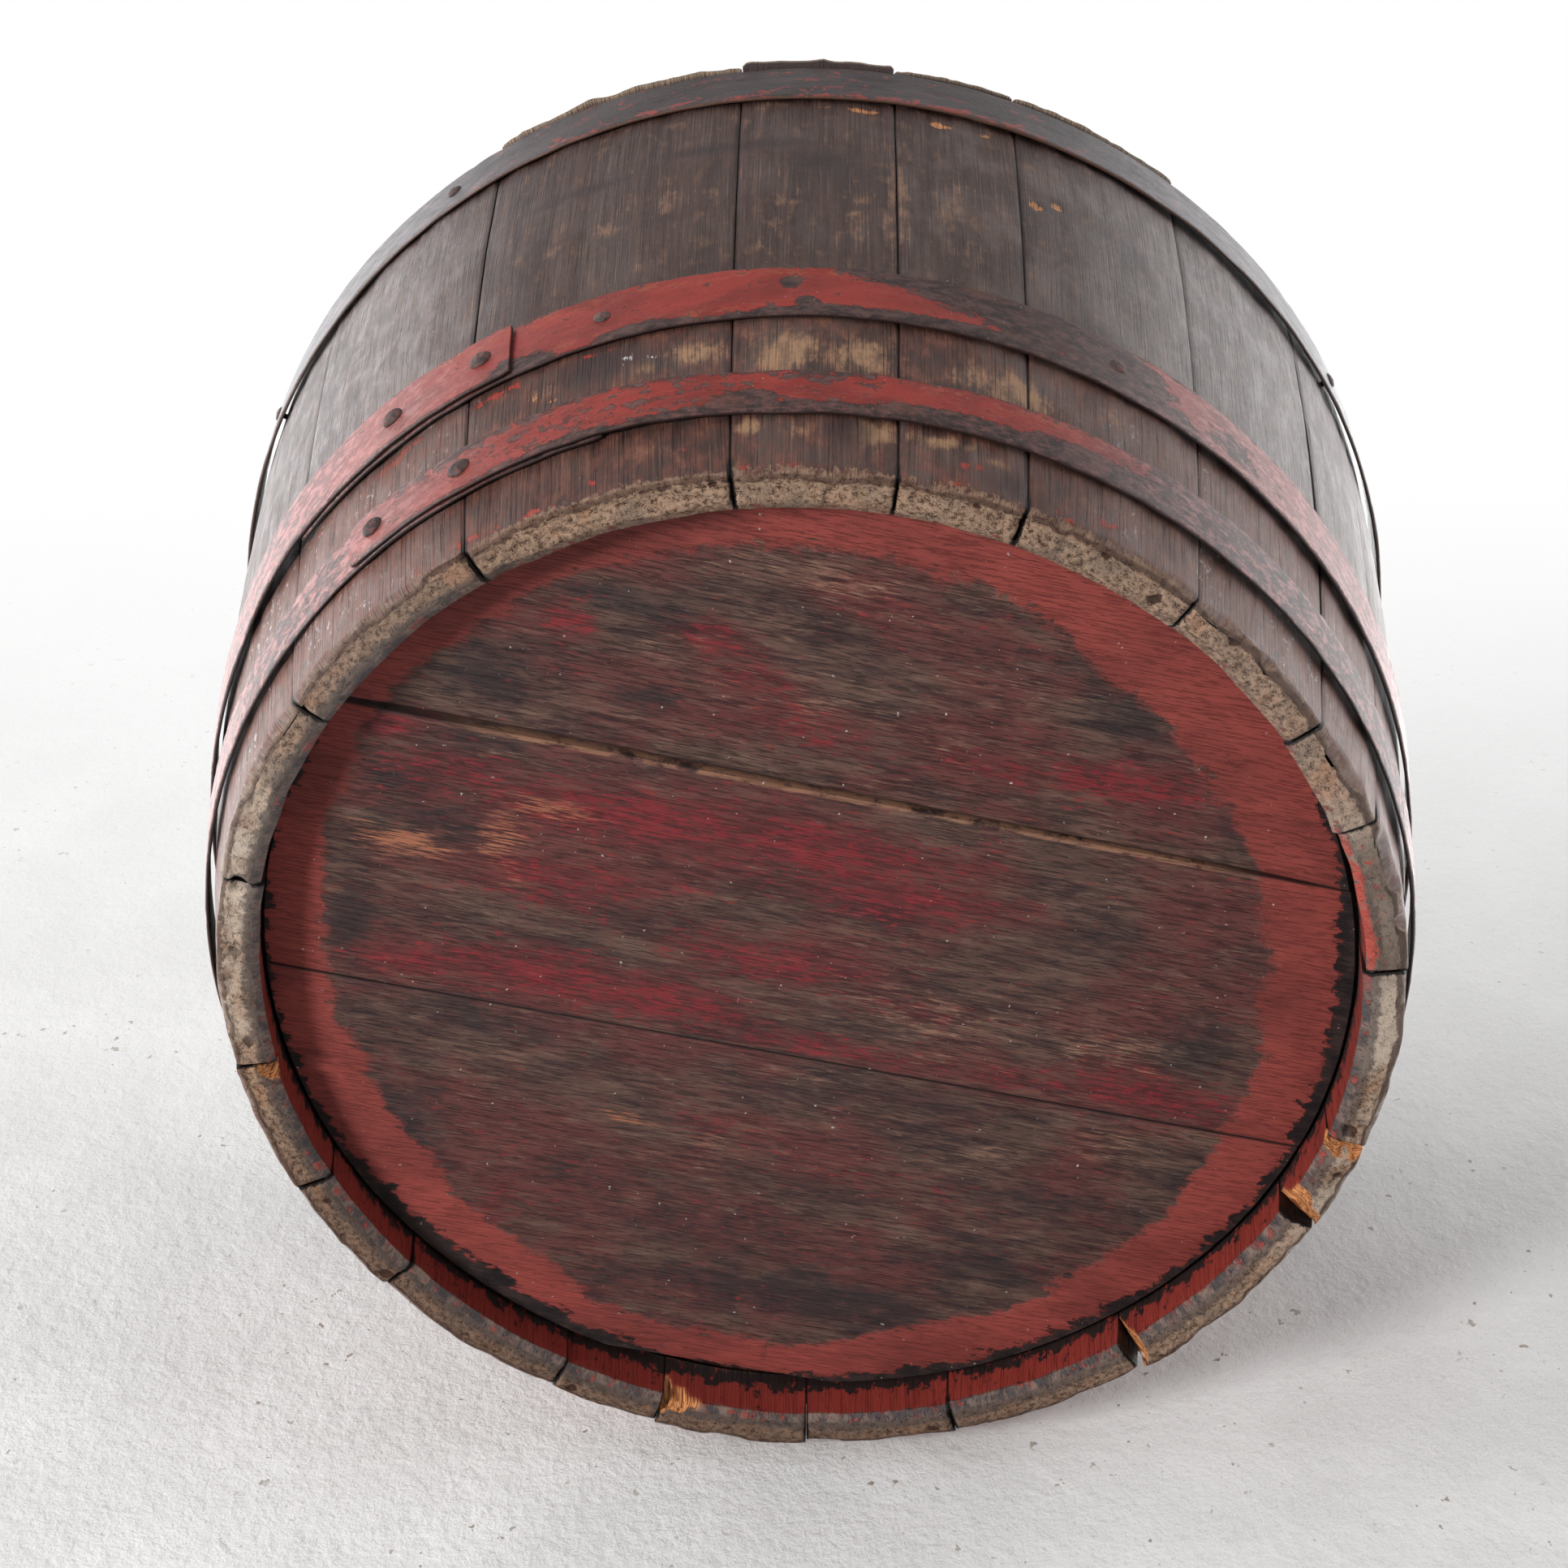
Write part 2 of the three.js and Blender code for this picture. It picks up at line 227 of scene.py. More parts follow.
# The tables below are in degrees and millimetres.
# Where a stave end stands out or back from its neighbours: azimuth, outward shift.
PROUD_ENDS = ((345.0, 2.2), (5.0, 0.8), (41.0, -1.0), (315.0, 0.6),
              (185.0, -1.2), (98.0, 1.0), (130.0, -0.8), (65.0, -1.2))

# How far the stave ends spread out over the rim hoop: azimuth within the stave, outward shift.
PROUD_RIMS = ((270.7, 4.6), (258.0, 2.3), (281.0, 3.5), (293.0, 2.0),
              (244.0, 2.0), (230.0, 1.6), (306.0, 2.4), (320.0, 1.0))

# Splits and breaks at the chime: azimuth, depth in from the outside, reach, cut, and the
# direction (round the cask, up, inward) that the broken face looks in.
CHIPS = (
    (106.0, 20, 21, 8.5, (0.30, -0.60, 0.85)), (53.2, 14, 15, 6.0, (0.9, -0.5, 0.3)),
    (27.0, 15, 18, 7.5, (0.55, -0.65, 0.5)), (172.4, 17, 15, 4.5, (0.5, -0.5, 0.8)),
    (17.6, 12, 12, 5.0, (-0.7, -0.7, 0.1)),
)

# Rotted pits in the chime's end grain: azimuth, depth in from the outside, radius, cut.
PITS = (
    (196.8, 9, 6.0, 3.5), (188.2, 8, 5.0, 3.0), (176.6, 10, 4.5, 2.5), (17.8, 8, 5.5, 4.0),
    (15.4, 12, 4.5, 3.0), (21.0, 6, 4.0, 2.0), (303.0, 11, 3.5, 2.2), (297.0, 5, 3.5, 2.0),
    (311.5, 4, 4.5, 2.5), (262.0, 4, 3.0, 2.0), (239.5, 3, 3.5, 2.0), (284.5, 5, 3.0, 1.6),
    (142.0, 7, 4.0, 2.0), (117.0, 5, 5.0, 2.0), (77.0, 6, 4.0, 1.6), (154.0, 10, 3.0, 1.8),
)

# Marks on the outside of the wood: azimuth, height, half width, half height, strength.
BARE_WOOD = (
    (268.2, 88, 17, 14, 1.3), (274.2, 86, 15, 14, 1.2), (260.6, 92, 15, 9, 1.1),
    (283.6, 84, 10, 11, 0.9), (288.2, 83, 15, 14, 1.3), (256.8, 88, 11, 6, 0.9),
    (265.2, 33, 7, 6, 1.1), (269.0, 28, 7, 5, 0.6), (275.6, 30, 9, 9, 1.3),
    (281.0, 31, 16, 5, 1.1), (286.0, 26, 9, 4, 0.7), (258.5, 24, 9, 5, 0.5),
    (277.6, 240, 6, 55, 0.9), (274.2, 215, 9, 30, 0.6), (282.6, 238, 9, 26, 0.8),
    (284.5, 205, 7, 18, 0.5), (268.2, 236, 6, 30, 0.5), (266.3, 190, 5, 18, 0.5),
    (258.0, 240, 10, 14, 0.7), (252.2, 225, 9, 12, 0.6), (247.0, 222, 7, 10, 0.6),
    (244.0, 232, 8, 8, 0.4), (262.0, 232, 6, 18, 0.5), (255.5, 178, 4, 8, 0.6),
    (297.0, 96, 9, 10, 0.5), (306.0, 26, 12, 9, 0.5), (302.0, 300, 8, 20, 0.3),
    (247.5, 93, 7, 7, 0.5), (295.0, 20, 9, 7, 0.5), (312.0, 240, 6, 40, 0.3),
)
TORN_WOOD = (
    (274.8, 334.5, 9, 3.2, 1.0), (271.0, 336.5, 5, 2.0, 0.6), (281.6, 331.0, 7, 3.4, 1.0),
    (285.6, 331.5, 5, 3.0, 0.8), (295.5, 330.0, 6, 2.2, 0.7), (290.4, 267.0, 4, 3.8, 1.0),
    (292.4, 275.5, 3.4, 4.2, 1.0), (246.5, 92.0, 3.0, 2.0, 0.8), (248.2, 84.0, 4.0, 1.6, 0.7),
    (305.0, 318.0, 3.0, 4.0, 0.5),
)
STAINS = (
    (271.0, 268, 16, 16, 0.9), (262.0, 290, 60, 7, 0.8), (250.0, 278, 50, 7, 0.7),
    (240.0, 262, 40, 7, 0.5), (273.5, 30, 12, 12, 0.8), (252.5, 98, 26, 14, 0.9),
    (280.0, 318, 34, 12, 0.5), (323.5, 200, 3, 60, 0.8), (322.0, 190, 2.4, 4, 1.0),
    (323.4, 236, 2.2, 6, 1.0), (312.0, 92, 3, 3, 1.0), (314.0, 84, 3, 3, 1.0),
    (287.0, 14, 20, 12, 0.6), (301.0, 70, 40, 12, 0.5), (242.0, 20, 40, 8, 0.4),
)
CHALK_MARKS = (
    (255.0, 98, 3.4, 3.0, 1.0), (257.0, 94, 5.0, 1.2, 0.9), (258.8, 97, 1.0, 5.0, 0.8),
    (238.5, 158, 9, 5, 0.7), (304.8, 379, 6, 3, 1.0), (326.0, 92, 2.4, 5, 1.0),
    (333.0, 60, 2.2, 9, 0.9), (336.0, 72, 2.2, 8, 0.8), (337.5, 44, 2.4, 9, 0.9),
    (342.0, 66, 2.2, 8, 0.7), (318.5, 30, 2.4, 5, 0.6), (329.5, 100, 2.2, 5, 0.7),
    (346.0, 90, 2.2, 9, 0.8), (213.0, 60, 4, 14, 0.5), (222.0, 26, 8, 5, 0.6),
)
RED_SPLASHES = (
    (240.5, 9, 10, 3.4, 1.0), (246.5, 6, 7, 2.4, 1.0), (252.0, 12, 5, 2.6, 0.8),
    (260.0, 21, 5, 3.0, 0.8), (264.0, 12, 4, 2.2, 0.6), (283.8, 18, 6, 5.0, 0.8),
    (286.0, 22, 3, 4.0, 0.6), (268.0, 16, 5, 2.0, 0.5), (296.0, 14, 8, 4, 0.8),
    (300.0, 22, 6, 4, 0.6), (292.0, 8, 9, 2.6, 0.6), (312.0, 10, 9, 4, 0.5),
    (243.0, 108, 22, 3.4, 1.0), (232.0, 108, 30, 4.2, 1.0), (222.0, 106, 30, 3.6, 0.9),
    (252.0, 109, 9, 2.6, 0.8), (263.8, 262, 1.6, 6, 0.7), (277.0, 100, 10, 8, 0.35),
    (282.0, 98, 8, 6, 0.4), (326.0, 20, 22, 12, 0.6), (334.0, 30, 18, 14, 0.5),
)


def left_flank(az):
    """1 on the left of the lying cask, fading to 0."""
    return near(az, 212.0, 10.0, 36.0)


def right_flank(az):
    """1 on the right of the lying cask, fading to 0."""
    return near(az, 332.0, 12.0, 46.0)


def stave_stations(top):
    """Each row of a stave: its height outside, its height inside, and the part it is in."""
    rows = [(z, z, "bevel") for z in np.linspace(0.0, BEVEL_HEIGHT, 6)]
    rows += [(z, z, "wall") for z in np.arange(7 * MM, CROZE[0] - MM, 2 * MM)]
    rows += [(CROZE[0], CROZE[0], "wall"), (CROZE[0] + 1.8 * MM, CROZE[0], "groove")]
    rows += [(CROZE[1] - 1.8 * MM, CROZE[1], "groove"), (CROZE[1], CROZE[1], "inside")]
    rows += [(z, z, "inside") for z in np.arange(44 * MM, top - 14 * MM, 3.6 * MM)]
    rows += [(z, z, "inside") for z in np.linspace(top - 12 * MM, top, 9)]
    return rows


def inner_depth(z, kind):
    """Thickness of the stave at an inside point."""
    if kind == "bevel":
        return CHIME_END + (BEVEL_DEPTH - CHIME_END) * z / BEVEL_HEIGHT
    if kind == "wall":
        rise = (z - BEVEL_HEIGHT) / (CROZE[0] - BEVEL_HEIGHT)
        return BEVEL_DEPTH + (WALL_DEPTH - BEVEL_DEPTH) * rise
    if kind == "groove":
        return THICKNESS - CROZE_CUT
    return THICKNESS


def stave_lattice(low, high, top):
    """Azimuth, height and depth at each point of a stave's lattice, and each row's thickness."""
    rows = stave_stations(top)
    width = math.radians(high - low) * outside(np.array(low), np.array(top))
    even = np.linspace(0.0, 1.0, max(16, int(width / (2.3 * MM))) + 1)
    across = 0.62 * even + 0.38 * (0.5 - 0.5 * np.cos(math.pi * even))    # closer at the joints
    through = np.linspace(0.0, 1.0, 9)
    out_z = np.array([row[0] for row in rows])
    in_z = np.array([row[1] for row in rows])
    deep = np.array([inner_depth(row[1], row[2]) for row in rows])
    z = out_z[:, None] + (in_z - out_z)[:, None] * through[None, :]
    depth = deep[:, None] * through[None, :]
    z = np.repeat(z[:, :, None], len(across), axis=2)
    depth = np.repeat(depth[:, :, None], len(across), axis=2)
    az = np.broadcast_to(low + (high - low) * across, z.shape).copy()
    return az, z, depth, deep[:, None, None]


def build_stave(name):
    cad = vertices(name)
    low, high = span(cad, box_azimuth(name))
    middle = 0.5 * (low + high)
    top = float(cad[:, 2].max())
    number = int(name[-2:])
    az, z, depth, deep = stave_lattice(low, high, top)
    surface = outside(az, z)
    arc = np.radians(turn_gap(az, middle)) * surface
    half = math.radians(0.5 * (high - low)) * surface
    edge = half - np.abs(arc)                      # distance to the nearer joint face
    local = np.stack([arc + 0.37 * number, depth, z], axis=-1)
    level = z

    def rough(scale, seed):
        return noise(local, scale, seed + number)

    def holds(centre):
        return low < middle + turn_gap(centre, middle) < high

    def along(centre):
        return np.radians(turn_gap(az, centre)) * surface

    def marks(spots):
        """Strength of the strongest mark at each point."""
        total = np.zeros_like(z)
        for centre, height, half_width, half_height, strength in spots:
            reach = (along(centre) / MM / half_width) ** 2 + ((level / MM - height) / half_height) ** 2
            total = np.maximum(total, strength * np.exp(-0.8 * reach))
        return total

    # Weathered faces, hollowed a little across, with softened joints.
    outer = 1.0 - smooth(depth, 0.0, 6 * MM)
    inner = smooth(depth / deep, 0.55, 1.0)
    bump = 0.45 * rough((45, 45, 5), 0) + 0.35 * rough((110, 110, 9), 20)
    bump += 0.30 * rough((30, 30, 30), 40)
    settle = 0.6 * (hashed(number, 3, 5, 7) - 0.75)
    softened = 0.7 * (1.0 - smooth(edge, 0.0, 1.6 * MM))
    radial = outer * (bump - 0.3 + settle - softened - 0.5 * (arc / half) ** 2) * MM
    radial -= inner * (0.6 * rough((60, 60, 6), 60) - 0.3) * MM
    for centre, shift in PROUD_ENDS:
        if abs(turn_gap(middle, centre)) < 0.5 * (high - low):
            radial += shift * MM * (1.0 - smooth(z, 4 * MM, 34 * MM))

    # Above the rim hoop the crushed ends spread out over the strip.
    for centre, shift in PROUD_RIMS:
        if holds(centre):
            uneven = 1.0 + 0.12 * rough((70, 0, 0), 180) + 0.10 * rough((260, 0, 0), 190)
            radial += outer * shift * MM * uneven * smooth(z, RIM_HOOP_TOP, RIM_HOOP_TOP + 2 * MM)

    # The chime's outer arris is worn round and chipped, unevenly.
    chipped = smooth(rough((85, 0, 60), 90), 0.2, 0.8)
    rounding = 2.2 + 1.6 * rough((40, 0, 0), 80) + (1.4 + 2.4 * right_flank(az)) * chipped
    radial -= outer * (1.0 - smooth(z, 0.0, rounding * 1.6 * MM)) * rounding * MM

    # End faces: pitted end grain at the chime, a rough saw cut at the rim.
    at_chime = 1.0 - smooth(z, 0.0, 3 * MM)
    pit = smooth(rough((160, 160, 40), 100), 0.25, 0.9) * 1.4 + 0.35 * rough((60, 60, 20), 120)
    z = z + at_chime * np.maximum(pit, 0.0) * MM
    at_rim = smooth(z, top - 12 * MM, top)
    saw = 1.3 * rough((34, 34, 0), 140) + 0.5 * rough((150, 150, 0), 160)
    z = z + at_rim * (1.6 - saw) * MM

    # The joints gape at both ends, each by its own amount.
    joint = (number + (arc > 0.0).astype(int) - 1) % len(STAVES)
    crack = 0.25 + 0.75 * hashed(joint, 11, 4, 9)
    gape = 1.0 - smooth(edge, 0.0, (1.0 + 1.6 * crack) * MM)
    z = z + gape * at_chime * (0.8 + 2.6 * crack) * MM - gape * at_rim * (0.8 + 1.8 * crack) * MM
    radial -= outer * gape * at_chime * 1.6 * MM * crack
    z = z + at_chime * 1.8 * MM * hashed(number, 8, 2, 6)

    rot = np.zeros_like(z)
    for centre, in_from, size, cut in PITS:
        reach = np.hypot(along(centre), depth - in_from * MM)
        reach = reach * (1.0 + 0.55 * rough((230, 230, 0), 220))
        pit = 1.0 - smooth(reach, 0.25 * size * MM, size * MM)
        rot = np.maximum(rot, pit)
        z = z + (1.0 - smooth(level, 0.0, 4 * MM)) * pit * cut * MM

    torn = outer * marks(TORN_WOOD)
    radial -= 1.2 * MM * smooth(torn, 0.3, 0.8)
    values = {
        "grain": local, "depth": depth, "inside": inner, "edge": edge, "torn": torn, "rot": rot,
        "bare": marks(BARE_WOOD), "stain": marks(STAINS), "chalk": marks(CHALK_MARKS),
        "paint": marks(RED_SPLASHES), "sawn": top - level, "crack": crack,
        "number": np.full_like(z, number),
    }

    # Splinters broken off the chime show fresh wood.
    fresh = np.zeros_like(z)
    radius = surface + radial - depth
    for centre, in_from, reach, cut, face in CHIPS:
        if not holds(centre):
            continue
        aside = along(centre)
        face = np.array(face) / np.linalg.norm(face)
        offset = np.stack([aside, z, surface - radius - in_from * MM], axis=-1)
        height = offset @ face + cut * MM * (1.0 + 0.25 * rough((300, 60, 20), 200))
        push = np.maximum(height, 0.0) * (1.0 - smooth(np.abs(aside), 0.5 * reach * MM, reach * MM))
        push = np.where(radius < surface - 2 * MM, push, push * 0.35)
        az = az - np.degrees(push * face[0] / surface)
        z = z - push * face[1]
        radius = radius + push * face[2]
        fresh = np.maximum(fresh, smooth(push, 0.2 * MM, 0.8 * MM))

    values.update({
        "fresh": fresh, "az": np.mod(az, 360.0),
        "left": left_flank(az), "right": right_flank(az), "right_end": near(az, 2.0, 14.0, 40.0),
        "upper": near(az, 292.0, 38.0, 58.0), "red_end": near(az, 346.0, 6.0, 12.0),
    })
    lattice_piece(name, az, radius, z, values, "stave_oak")


# ---- Hoops and fasteners ------------------------------------------------------------------

LONG_AZ = 72.0             # direction of the cask's long diameter
STRIP = 2.2 * MM
STRIP_FIT = 0.6 * MM
LAYER_GAP = 0.4 * MM
HOOP_SLACK = 0.4           # share of the CAD hoop's gap to the wood that the worn hoop keeps
LAP = 25.0                 # degrees of overlap
CLIMB = 15.0               # degrees over which the strip climbs onto its own end
HOOP_STEPS = 560
HOOP_SHAPES = {            # how oval, the azimuth of the outer end, and which way the strip runs
    "quarter_hoop": (0.016, 228.0, -1),
    "bilge_hoop": (0.0145, 244.5, 1),
    "rim_hoop": (0.003, 112.0, 1),
}


def hoop_inside(name, az, z):
    """Radius of a hoop's inner face, before the climb onto its own end."""
    oval = HOOP_SHAPES[name][0]
    bearing = outside(np.full_like(z, LONG_AZ), z) + STRIP_FIT
    loose = bearing / (1 + oval) * (1 + oval * np.cos(np.radians(2 * (az - LONG_AZ))))
    tight = outside(az, z) + STRIP_FIT
    return tight + HOOP_SLACK * (loose - tight)


# Places where a hoop's paint has gone: (azimuth, share of the width up, half width in degrees,
# half height as a share, strength).
HOOP_WORN = {
    "quarter_hoop": (
        (270.0, 0.05, 14, 0.22, 1.0), (283.0, 0.1, 10, 0.3, 1.0), (296.0, 0.2, 9, 0.4, 1.0),
        (310.0, 0.5, 12, 0.9, 0.85), (330.0, 0.6, 16, 0.9, 0.75), (265.0, 0.35, 3, 0.2, 0.9),
        (250.0, 0.05, 5, 0.15, 0.8), (224.0, 0.5, 3, 0.5, 0.6), (215.0, 0.4, 9, 0.9, 0.55),
        (60.0, 0.5, 40, 0.9, 0.5), (110.0, 0.3, 30, 0.8, 0.4), (255.0, 0.5, 26, 0.9, 0.40),
        (272.0, 0.8, 8, 0.25, 0.5), (238.0, 0.9, 8, 0.3, 0.5),
    ),
    "bilge_hoop": (
        (278.0, 0.95, 5, 0.25, 1.0), (284.5, 0.9, 6, 0.5, 1.1), (290.0, 0.72, 7, 0.5, 1.2),
        (296.5, 0.45, 6, 0.5, 1.1), (301.0, 0.15, 5, 0.25, 0.9), (275.0, 0.05, 12, 0.16, 1.0),
        (286.0, 0.05, 12, 0.18, 1.0), (268.5, 0.66, 1.0, 0.13, 1.0), (270.0, 0.25, 1.2, 0.14, 0.9),
        (256.0, 0.08, 4, 0.12, 0.9), (245.5, 0.1, 3, 0.2, 0.9), (310.0, 0.4, 4, 0.3, 0.7),
        (80.0, 0.4, 50, 0.9, 0.5), (160.0, 0.5, 20, 0.6, 0.3),
    ),
    "rim_hoop": (),
}


def mottling(name, az):
    """How much old paint is left, mottled, on the worn parts of a hoop."""
    if name == "quarter_hoop":
        return 0.3 + 0.7 * np.maximum(near(az, 327.0, 18.0, 34.0), near(az, 208.0, 12.0, 26.0))
    right, left = near(az, 342.0, 12.0, 34.0), near(az, 206.0, 8.0, 26.0)
    return 0.08 + np.maximum(0.5 * right, 0.9 * left)


def worn_paint(name, az, rise):
    """How far a hoop's paint has gone at each point, from 0 to about 1."""
    total = np.zeros_like(az)
    for centre, height, half_width, half_height, strength in HOOP_WORN[name]:
        reach = (turn_gap(az, centre) / half_width) ** 2 + ((rise - height) / half_height) ** 2
        total = np.maximum(total, strength * np.exp(-0.75 * reach ** 1.5))
    return total


def build_hoop(name):
    end, way = HOOP_SHAPES[name][1:]
    box_low, box_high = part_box(name)
    width = box_high.z - box_low.z
    turns = 360.0 + LAP
    start = end - turns if way > 0 else end
    inset = np.array([0.0, 0.4, 1.1]) * MM
    middle = np.arange(3 * MM, width - 2.5 * MM, 2.6 * MM)
    up = np.concatenate([inset, middle, (width - inset)[::-1]])
    swell = np.interp(np.minimum(up, width - up), inset, [0.35, 0.78, 1.0])[None, :, None]
    az, across, layer = np.meshgrid(
        start + turns * np.linspace(0, 1, HOOP_STEPS + 1), up, [0.0, 0.5, 1.0], indexing="ij")
    run = az - start if way > 0 else start + turns - az
    climb = smooth(run, 360.0 - CLIMB, 360.0)
    z = box_low.z + across
    seed = HOOPS.index(name) * 10
    arc = np.radians(az) * 0.3
    local = np.stack([arc, across, np.zeros_like(arc)], axis=-1)
    edge = np.minimum(across, width - across)
    side = np.where(across > 0.5 * width, 1.0, -1.0)
    ragged = (1 - smooth(edge, 0, 2.4 * MM)) * 0.5 * MM
    z = z + side * ragged * (noise(local, (90, 0, 0), seed) - 0.7)
    thick = STRIP * (0.5 + (layer - 0.5) * swell)
    outer = layer * swell
    dent = 0.22 * noise(local, (28, 60, 0), seed + 1) + 0.16 * noise(local, (110, 160, 0), seed + 2)
    dent -= 0.25 * smooth(noise(local, (200, 260, 0), seed + 3), 0.35, 0.9)
    radius = hoop_inside(name, az, z) + thick + climb * (STRIP + LAYER_GAP)
    radius = radius + outer * (dent - 0.1) * MM
    end_wear = 1 - smooth(np.minimum(az - start, start + turns - az), 0.0, 0.8)
    z = z - side * end_wear * 1.5 * MM * (1 - smooth(edge, 0, 9 * MM))
    values = {
        "strip": local, "edge": edge, "outer": outer, "az": np.mod(az, 360.0),
        "left": left_flank(az), "right": right_flank(az), "rise": across / width,
        "worn": worn_paint(name, az, across / width), "mottle": mottling(name, az),
    }
    slot = "black_hoop_iron" if name == "rim_hoop" else "red_hoop_iron"
    lattice_piece(name, az, radius, z, values, slot)


def hoop_spot(name, az, layers):
    """Point on a hoop's outer face, halfway up it, and the direction square to the strip."""
    low, high = (corner.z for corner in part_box(name))
    radii = hoop_inside(name, np.full(2, az), np.array([low, high]))
    slope = math.atan2(radii[1] - radii[0], high - low)
    radius = radii.mean() + layers * STRIP + (layers - 1) * LAYER_GAP
    angle = math.radians(az)
    around = Vector((math.cos(angle), math.sin(angle), 0))
    outward = around * math.cos(slope) - Vector((0, 0, math.sin(slope)))
    return around * radius + Vector((0, 0, 0.5 * (low + high))), outward


def build_fastener(name, hoop, layers, profile, squash):
    """A hammered head and shank: profile is (radius, height) from the shank's end to the crown."""
    point, outward = hoop_spot(hoop, box_azimuth(name), layers)
    sides = 28
    rings = np.array(profile)
    turn = np.linspace(0, 2 * math.pi, sides, endpoint=False)
    radius, angle = np.meshgrid(rings[:, 0], turn, indexing="ij")
    height = np.repeat(rings[:, 1][:, None], sides, axis=1)
    seed = sum(map(ord, name))
    where = np.stack([np.cos(angle), np.sin(angle), height * 200], axis=-1)
    radius = radius * (1 + 0.10 * noise(where, (1.3, 1.3, 0.5), seed) * (radius > 3 * MM))
    x = radius * np.cos(angle) * squash
    y = radius * np.sin(angle) / squash
    crown = np.clip(height / rings[-1, 1], 0, 1)
    height = height + crown * 0.35 * MM * noise(where * 1.7, (1, 1, 1), seed + 1)
    turned = outward.to_track_quat("Z", "Y")
    points = np.stack([x, y, height], axis=-1).reshape(-1, 3)
    points = np.array([point + turned @ Vector(p) for p in points])
    quads = []
    for ring in range(len(rings) - 1):
        for side in range(sides):
            a = ring * sides + side
            b = ring * sides + (side + 1) % sides
            quads.append((a, b, b + sides, a + sides))
    new_piece(name, points, np.array(quads), {}, "fastener_iron")


def head_profile(radius, height, shank, length):
    """Outline of a domed head on a round shank, closed at both ends by a very small ring."""
    dome = [(radius * math.cos(t), height * math.sin(t)) for t in np.linspace(0.05, 1.5, 9)]
    under = [(0.02 * MM, -length), (shank, -length), (shank, -0.1 * MM), (radius * 0.96, 0.0)]
    return under + dome + [(0.02 * MM, height)]


# ---- Head ---------------------------------------------------------------------------------

HEAD_ANGLE = math.radians(13)     # the boards run at this angle to X
EDGE_MARGIN = 8.8 * MM            # the outer face stops this far inside the head's thin edge
BACK_MARGIN = 14.5 * MM
HEAD_OVAL = 0.0235                # the head went out of round with the chime
WALL_MARGIN = 6.5 * MM            # where the bevels meet the thin edge in the croze
UPPER_DROP = 1.6 * MM             # the middle board stands this much proud of the top one
BOARD_ROWS = 60
BOARD_COLUMNS = 150


def head_levels(radius, low, high):
    """(height, radius) down the head's edge: outer face, bevel, thin edge, bevel, back."""
    edge_low, edge_high = low + 8.8 * MM, low + 12.7 * MM
    return [
        (low, radius - EDGE_MARGIN),
        (low + 2.4 * MM, radius - EDGE_MARGIN + 1.4 * MM),
        (edge_low - 0.3 * MM, radius - WALL_MARGIN),
        (edge_low, radius),
        (edge_high, radius),
        (edge_high + 0.3 * MM, radius - WALL_MARGIN),
        (high, radius - BACK_MARGIN),
    ]


def head_stretch(angle):
    """How much longer the oval head's radius is at an angle, in radians, than the round one's."""
    return 1 + HEAD_OVAL * np.cos(2 * (angle - math.radians(LONG_AZ)))


def chord_end(side, square, radius):
    """How far along the boards the oval edge is, on one side, at a distance square to them."""
    along = np.sqrt(np.maximum(radius ** 2 - square ** 2, 0.0))
    for _ in range(12):
        grown = radius * head_stretch(np.arctan2(square, side * along) + HEAD_ANGLE)
        along = np.sqrt(np.maximum(grown ** 2 - square ** 2, (3 * MM) ** 2))
    return side * along


def board_axes(points):
    """Positions along the boards and square to them."""
    c, s = math.cos(HEAD_ANGLE), math.sin(HEAD_ANGLE)
    return points[..., 0] * c + points[..., 1] * s, points[..., 1] * c - points[..., 0] * s


def joint_line(along, square, towards):
    """Slope and offset of a board's joint edge; towards is -1 for its low side, 1 for its high."""
    edge = towards * square > (towards * square).max() - 2.5 * MM
    return np.polyfit(along[edge], square[edge], 1)


def head_radius():
    """Radius of the whole head before it went out of round."""
    points = np.concatenate([vertices(name) for name in BOARDS])
    return (np.hypot(points[:, 0], points[:, 1]) / head_stretch(np.radians(azimuth(points)))).max()


# Worn places on the head, in millimetres from its centre, along the boards and square to them:
# (along, square, half length, half width, strength).
CRIMSON = (
    (-188, -85, 35, 14, 0.7), (-95, -79, 80, 17, 1.0), (-10, -80, 60, 18, 1.0),
    (25, -60, 60, 14, 0.8), (-126, -33, 50, 16, 0.7), (-130, 24, 45, 15, 1.0),
    (-65, 26, 45, 13, 1.0), (-18, -10, 48, 15, 0.8), (112, -146, 46, 13, 1.0),
    (62, -144, 24, 11, 0.7), (-32, -145, 38, 14, 0.7), (-85, -181, 18, 11, 0.8),
    (-150, -176, 14, 11, 0.8), (-59, -165, 22, 10, 0.6), (-222, -104, 16, 8, 1.0),
    (182, 30, 52, 14, 0.9), (112, 36, 34, 12, 0.6), (10, 38, 42, 9, 0.8),
    (-27, 100, 24, 12, 0.5), (-130, 178, 18, 16, 0.6), (-30, -218, 22, 8, 0.5),
    (-195, 30, 24, 9, 1.0), (50, 4, 46, 10, 0.5), (60, 120, 50, 14, 0.4),
)
BARE = (
    (-42, -222, 42, 11, 0.9), (-106, -172, 26, 14, 0.5), (63, 5, 46, 22, 0.8),
    (13, -35, 20, 10, 0.5), (154, 6, 50, 12, 0.8), (-27, 119, 16, 19, 0.7),
    (176, 66, 26, 13, 0.8), (43, 148, 50, 14, 0.5), (-83, 207, 26, 9, 0.4),
    (-56, 81, 18, 10, 0.5), (105, 88, 34, 13, 0.6), (-147, 80, 30, 15, 0.5),
    (14, 59, 34, 8, 0.5), (-20, -125, 60, 10, 0.3), (190, -60, 30, 14, 0.4),
    (-10, -158, 90, 14, 0.6), (60, -190, 60, 12, 0.5), (-60, -196, 40, 10, 0.4),
)
